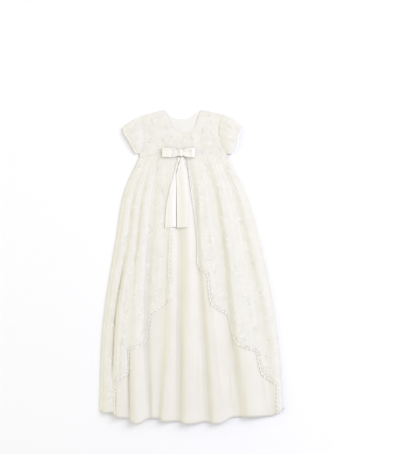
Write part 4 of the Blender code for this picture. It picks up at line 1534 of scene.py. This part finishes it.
def make_bow(ribbon):
    knot = cloth(
        "ribbon_knot", "bow_knot", knot_points(), RIBBON_WALL, ribbon, "ribbon", grow=-1.0,
        ring=True,
    )
    for name, direction, length, y_end in LOOPS:
        points = loop_points(direction, length, y_end)
        if direction > 0:
            points = points[:, ::-1]
        piece_name = name.replace("bow", "ribbon")
        loop = cloth(piece_name, name, points, RIBBON_WALL, ribbon, "ribbon", grow=0.0)
    tails = (
        ("bow_tail_left", LEFT_TAIL_SIDES, TAIL_BRIDGES[0], LEFT_TAIL_CUT),
        ("bow_tail_right", RIGHT_TAIL_SIDES, TAIL_BRIDGES[1], RIGHT_TAIL_CUT),
    )
    for name, sides, bridge, (width, length, area) in tails:
        points = tail_points(sides, bridge)
        piece_name = name.replace("bow", "ribbon")
        tail = cloth(piece_name, name, points, RIBBON_WALL, ribbon, "ribbon")


def make_studio():
    camera_data = bpy.data.cameras.new("camera")
    camera_data.lens = CAMERA_LENS
    camera_data.sensor_width = CAMERA_SENSOR
    camera_data.clip_end = CAMERA_REACH
    camera = bpy.data.objects.new("camera", camera_data)
    camera.location = [value * MM for value in CAMERA_AT]
    bpy.context.scene.collection.objects.link(camera)
    bpy.context.scene.camera = camera
    bpy.ops.mesh.primitive_plane_add(size=FLOOR_SIZE, location=(0, 0, FLOOR_Z))
    floor = bpy.context.object
    floor.name = "floor"
    floor.data.materials.append(floor_material())
    world = bpy.data.worlds.new("studio")
    world.use_nodes = True
    background = world.node_tree.nodes["Background"]
    background.inputs["Color"].default_value = (*SKY_COLOUR, 1)
    background.inputs["Strength"].default_value = SKY_STRENGTH
    bpy.context.scene.world = world
    for name, place, size, power, colour in (
        ("key", KEY_AT, KEY_SIZE, KEY_POWER, KEY_COLOUR),
        ("fill", FILL_AT, FILL_SIZE, FILL_POWER, FILL_COLOUR),
    ):
        light = bpy.data.lights.new(name, "AREA")
        light.size = size
        light.energy = power
        light.color = colour
        lamp = bpy.data.objects.new(name, light)
        lamp.location = place
        lamp.rotation_euler = Vector(place).to_track_quat("Z", "Y").to_euler()
        bpy.context.scene.collection.objects.link(lamp)
    bpy.context.scene.view_settings.view_transform = "Standard"


def main():
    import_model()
    net, backed = net_lace_material(), backed_lace_material()
    satin = woven_material("satin", **SATIN_LOOK)
    ribbon = woven_material("ribbon", **RIBBON_LOOK)
    lining = woven_material("lining", **LINING_LOOK)
    thread = thread_material("thread", THREAD_COLOUR, THREAD_DEEP_COLOUR, THREAD_STRANDS)
    cord = thread_material("cord", CORD_COLOUR, CORD_DEEP_COLOUR, CORD_STRANDS)
    piping = thread_material("piping", PIPING_COLOUR, PIPING_DEEP_COLOUR, CORD_STRANDS)
    make_skirts(satin, net, thread, cord)
    make_bodice(backed, lining, thread, piping)
    make_sleeves(backed, thread, cord)
    make_bow(ribbon)
    make_studio()


main()
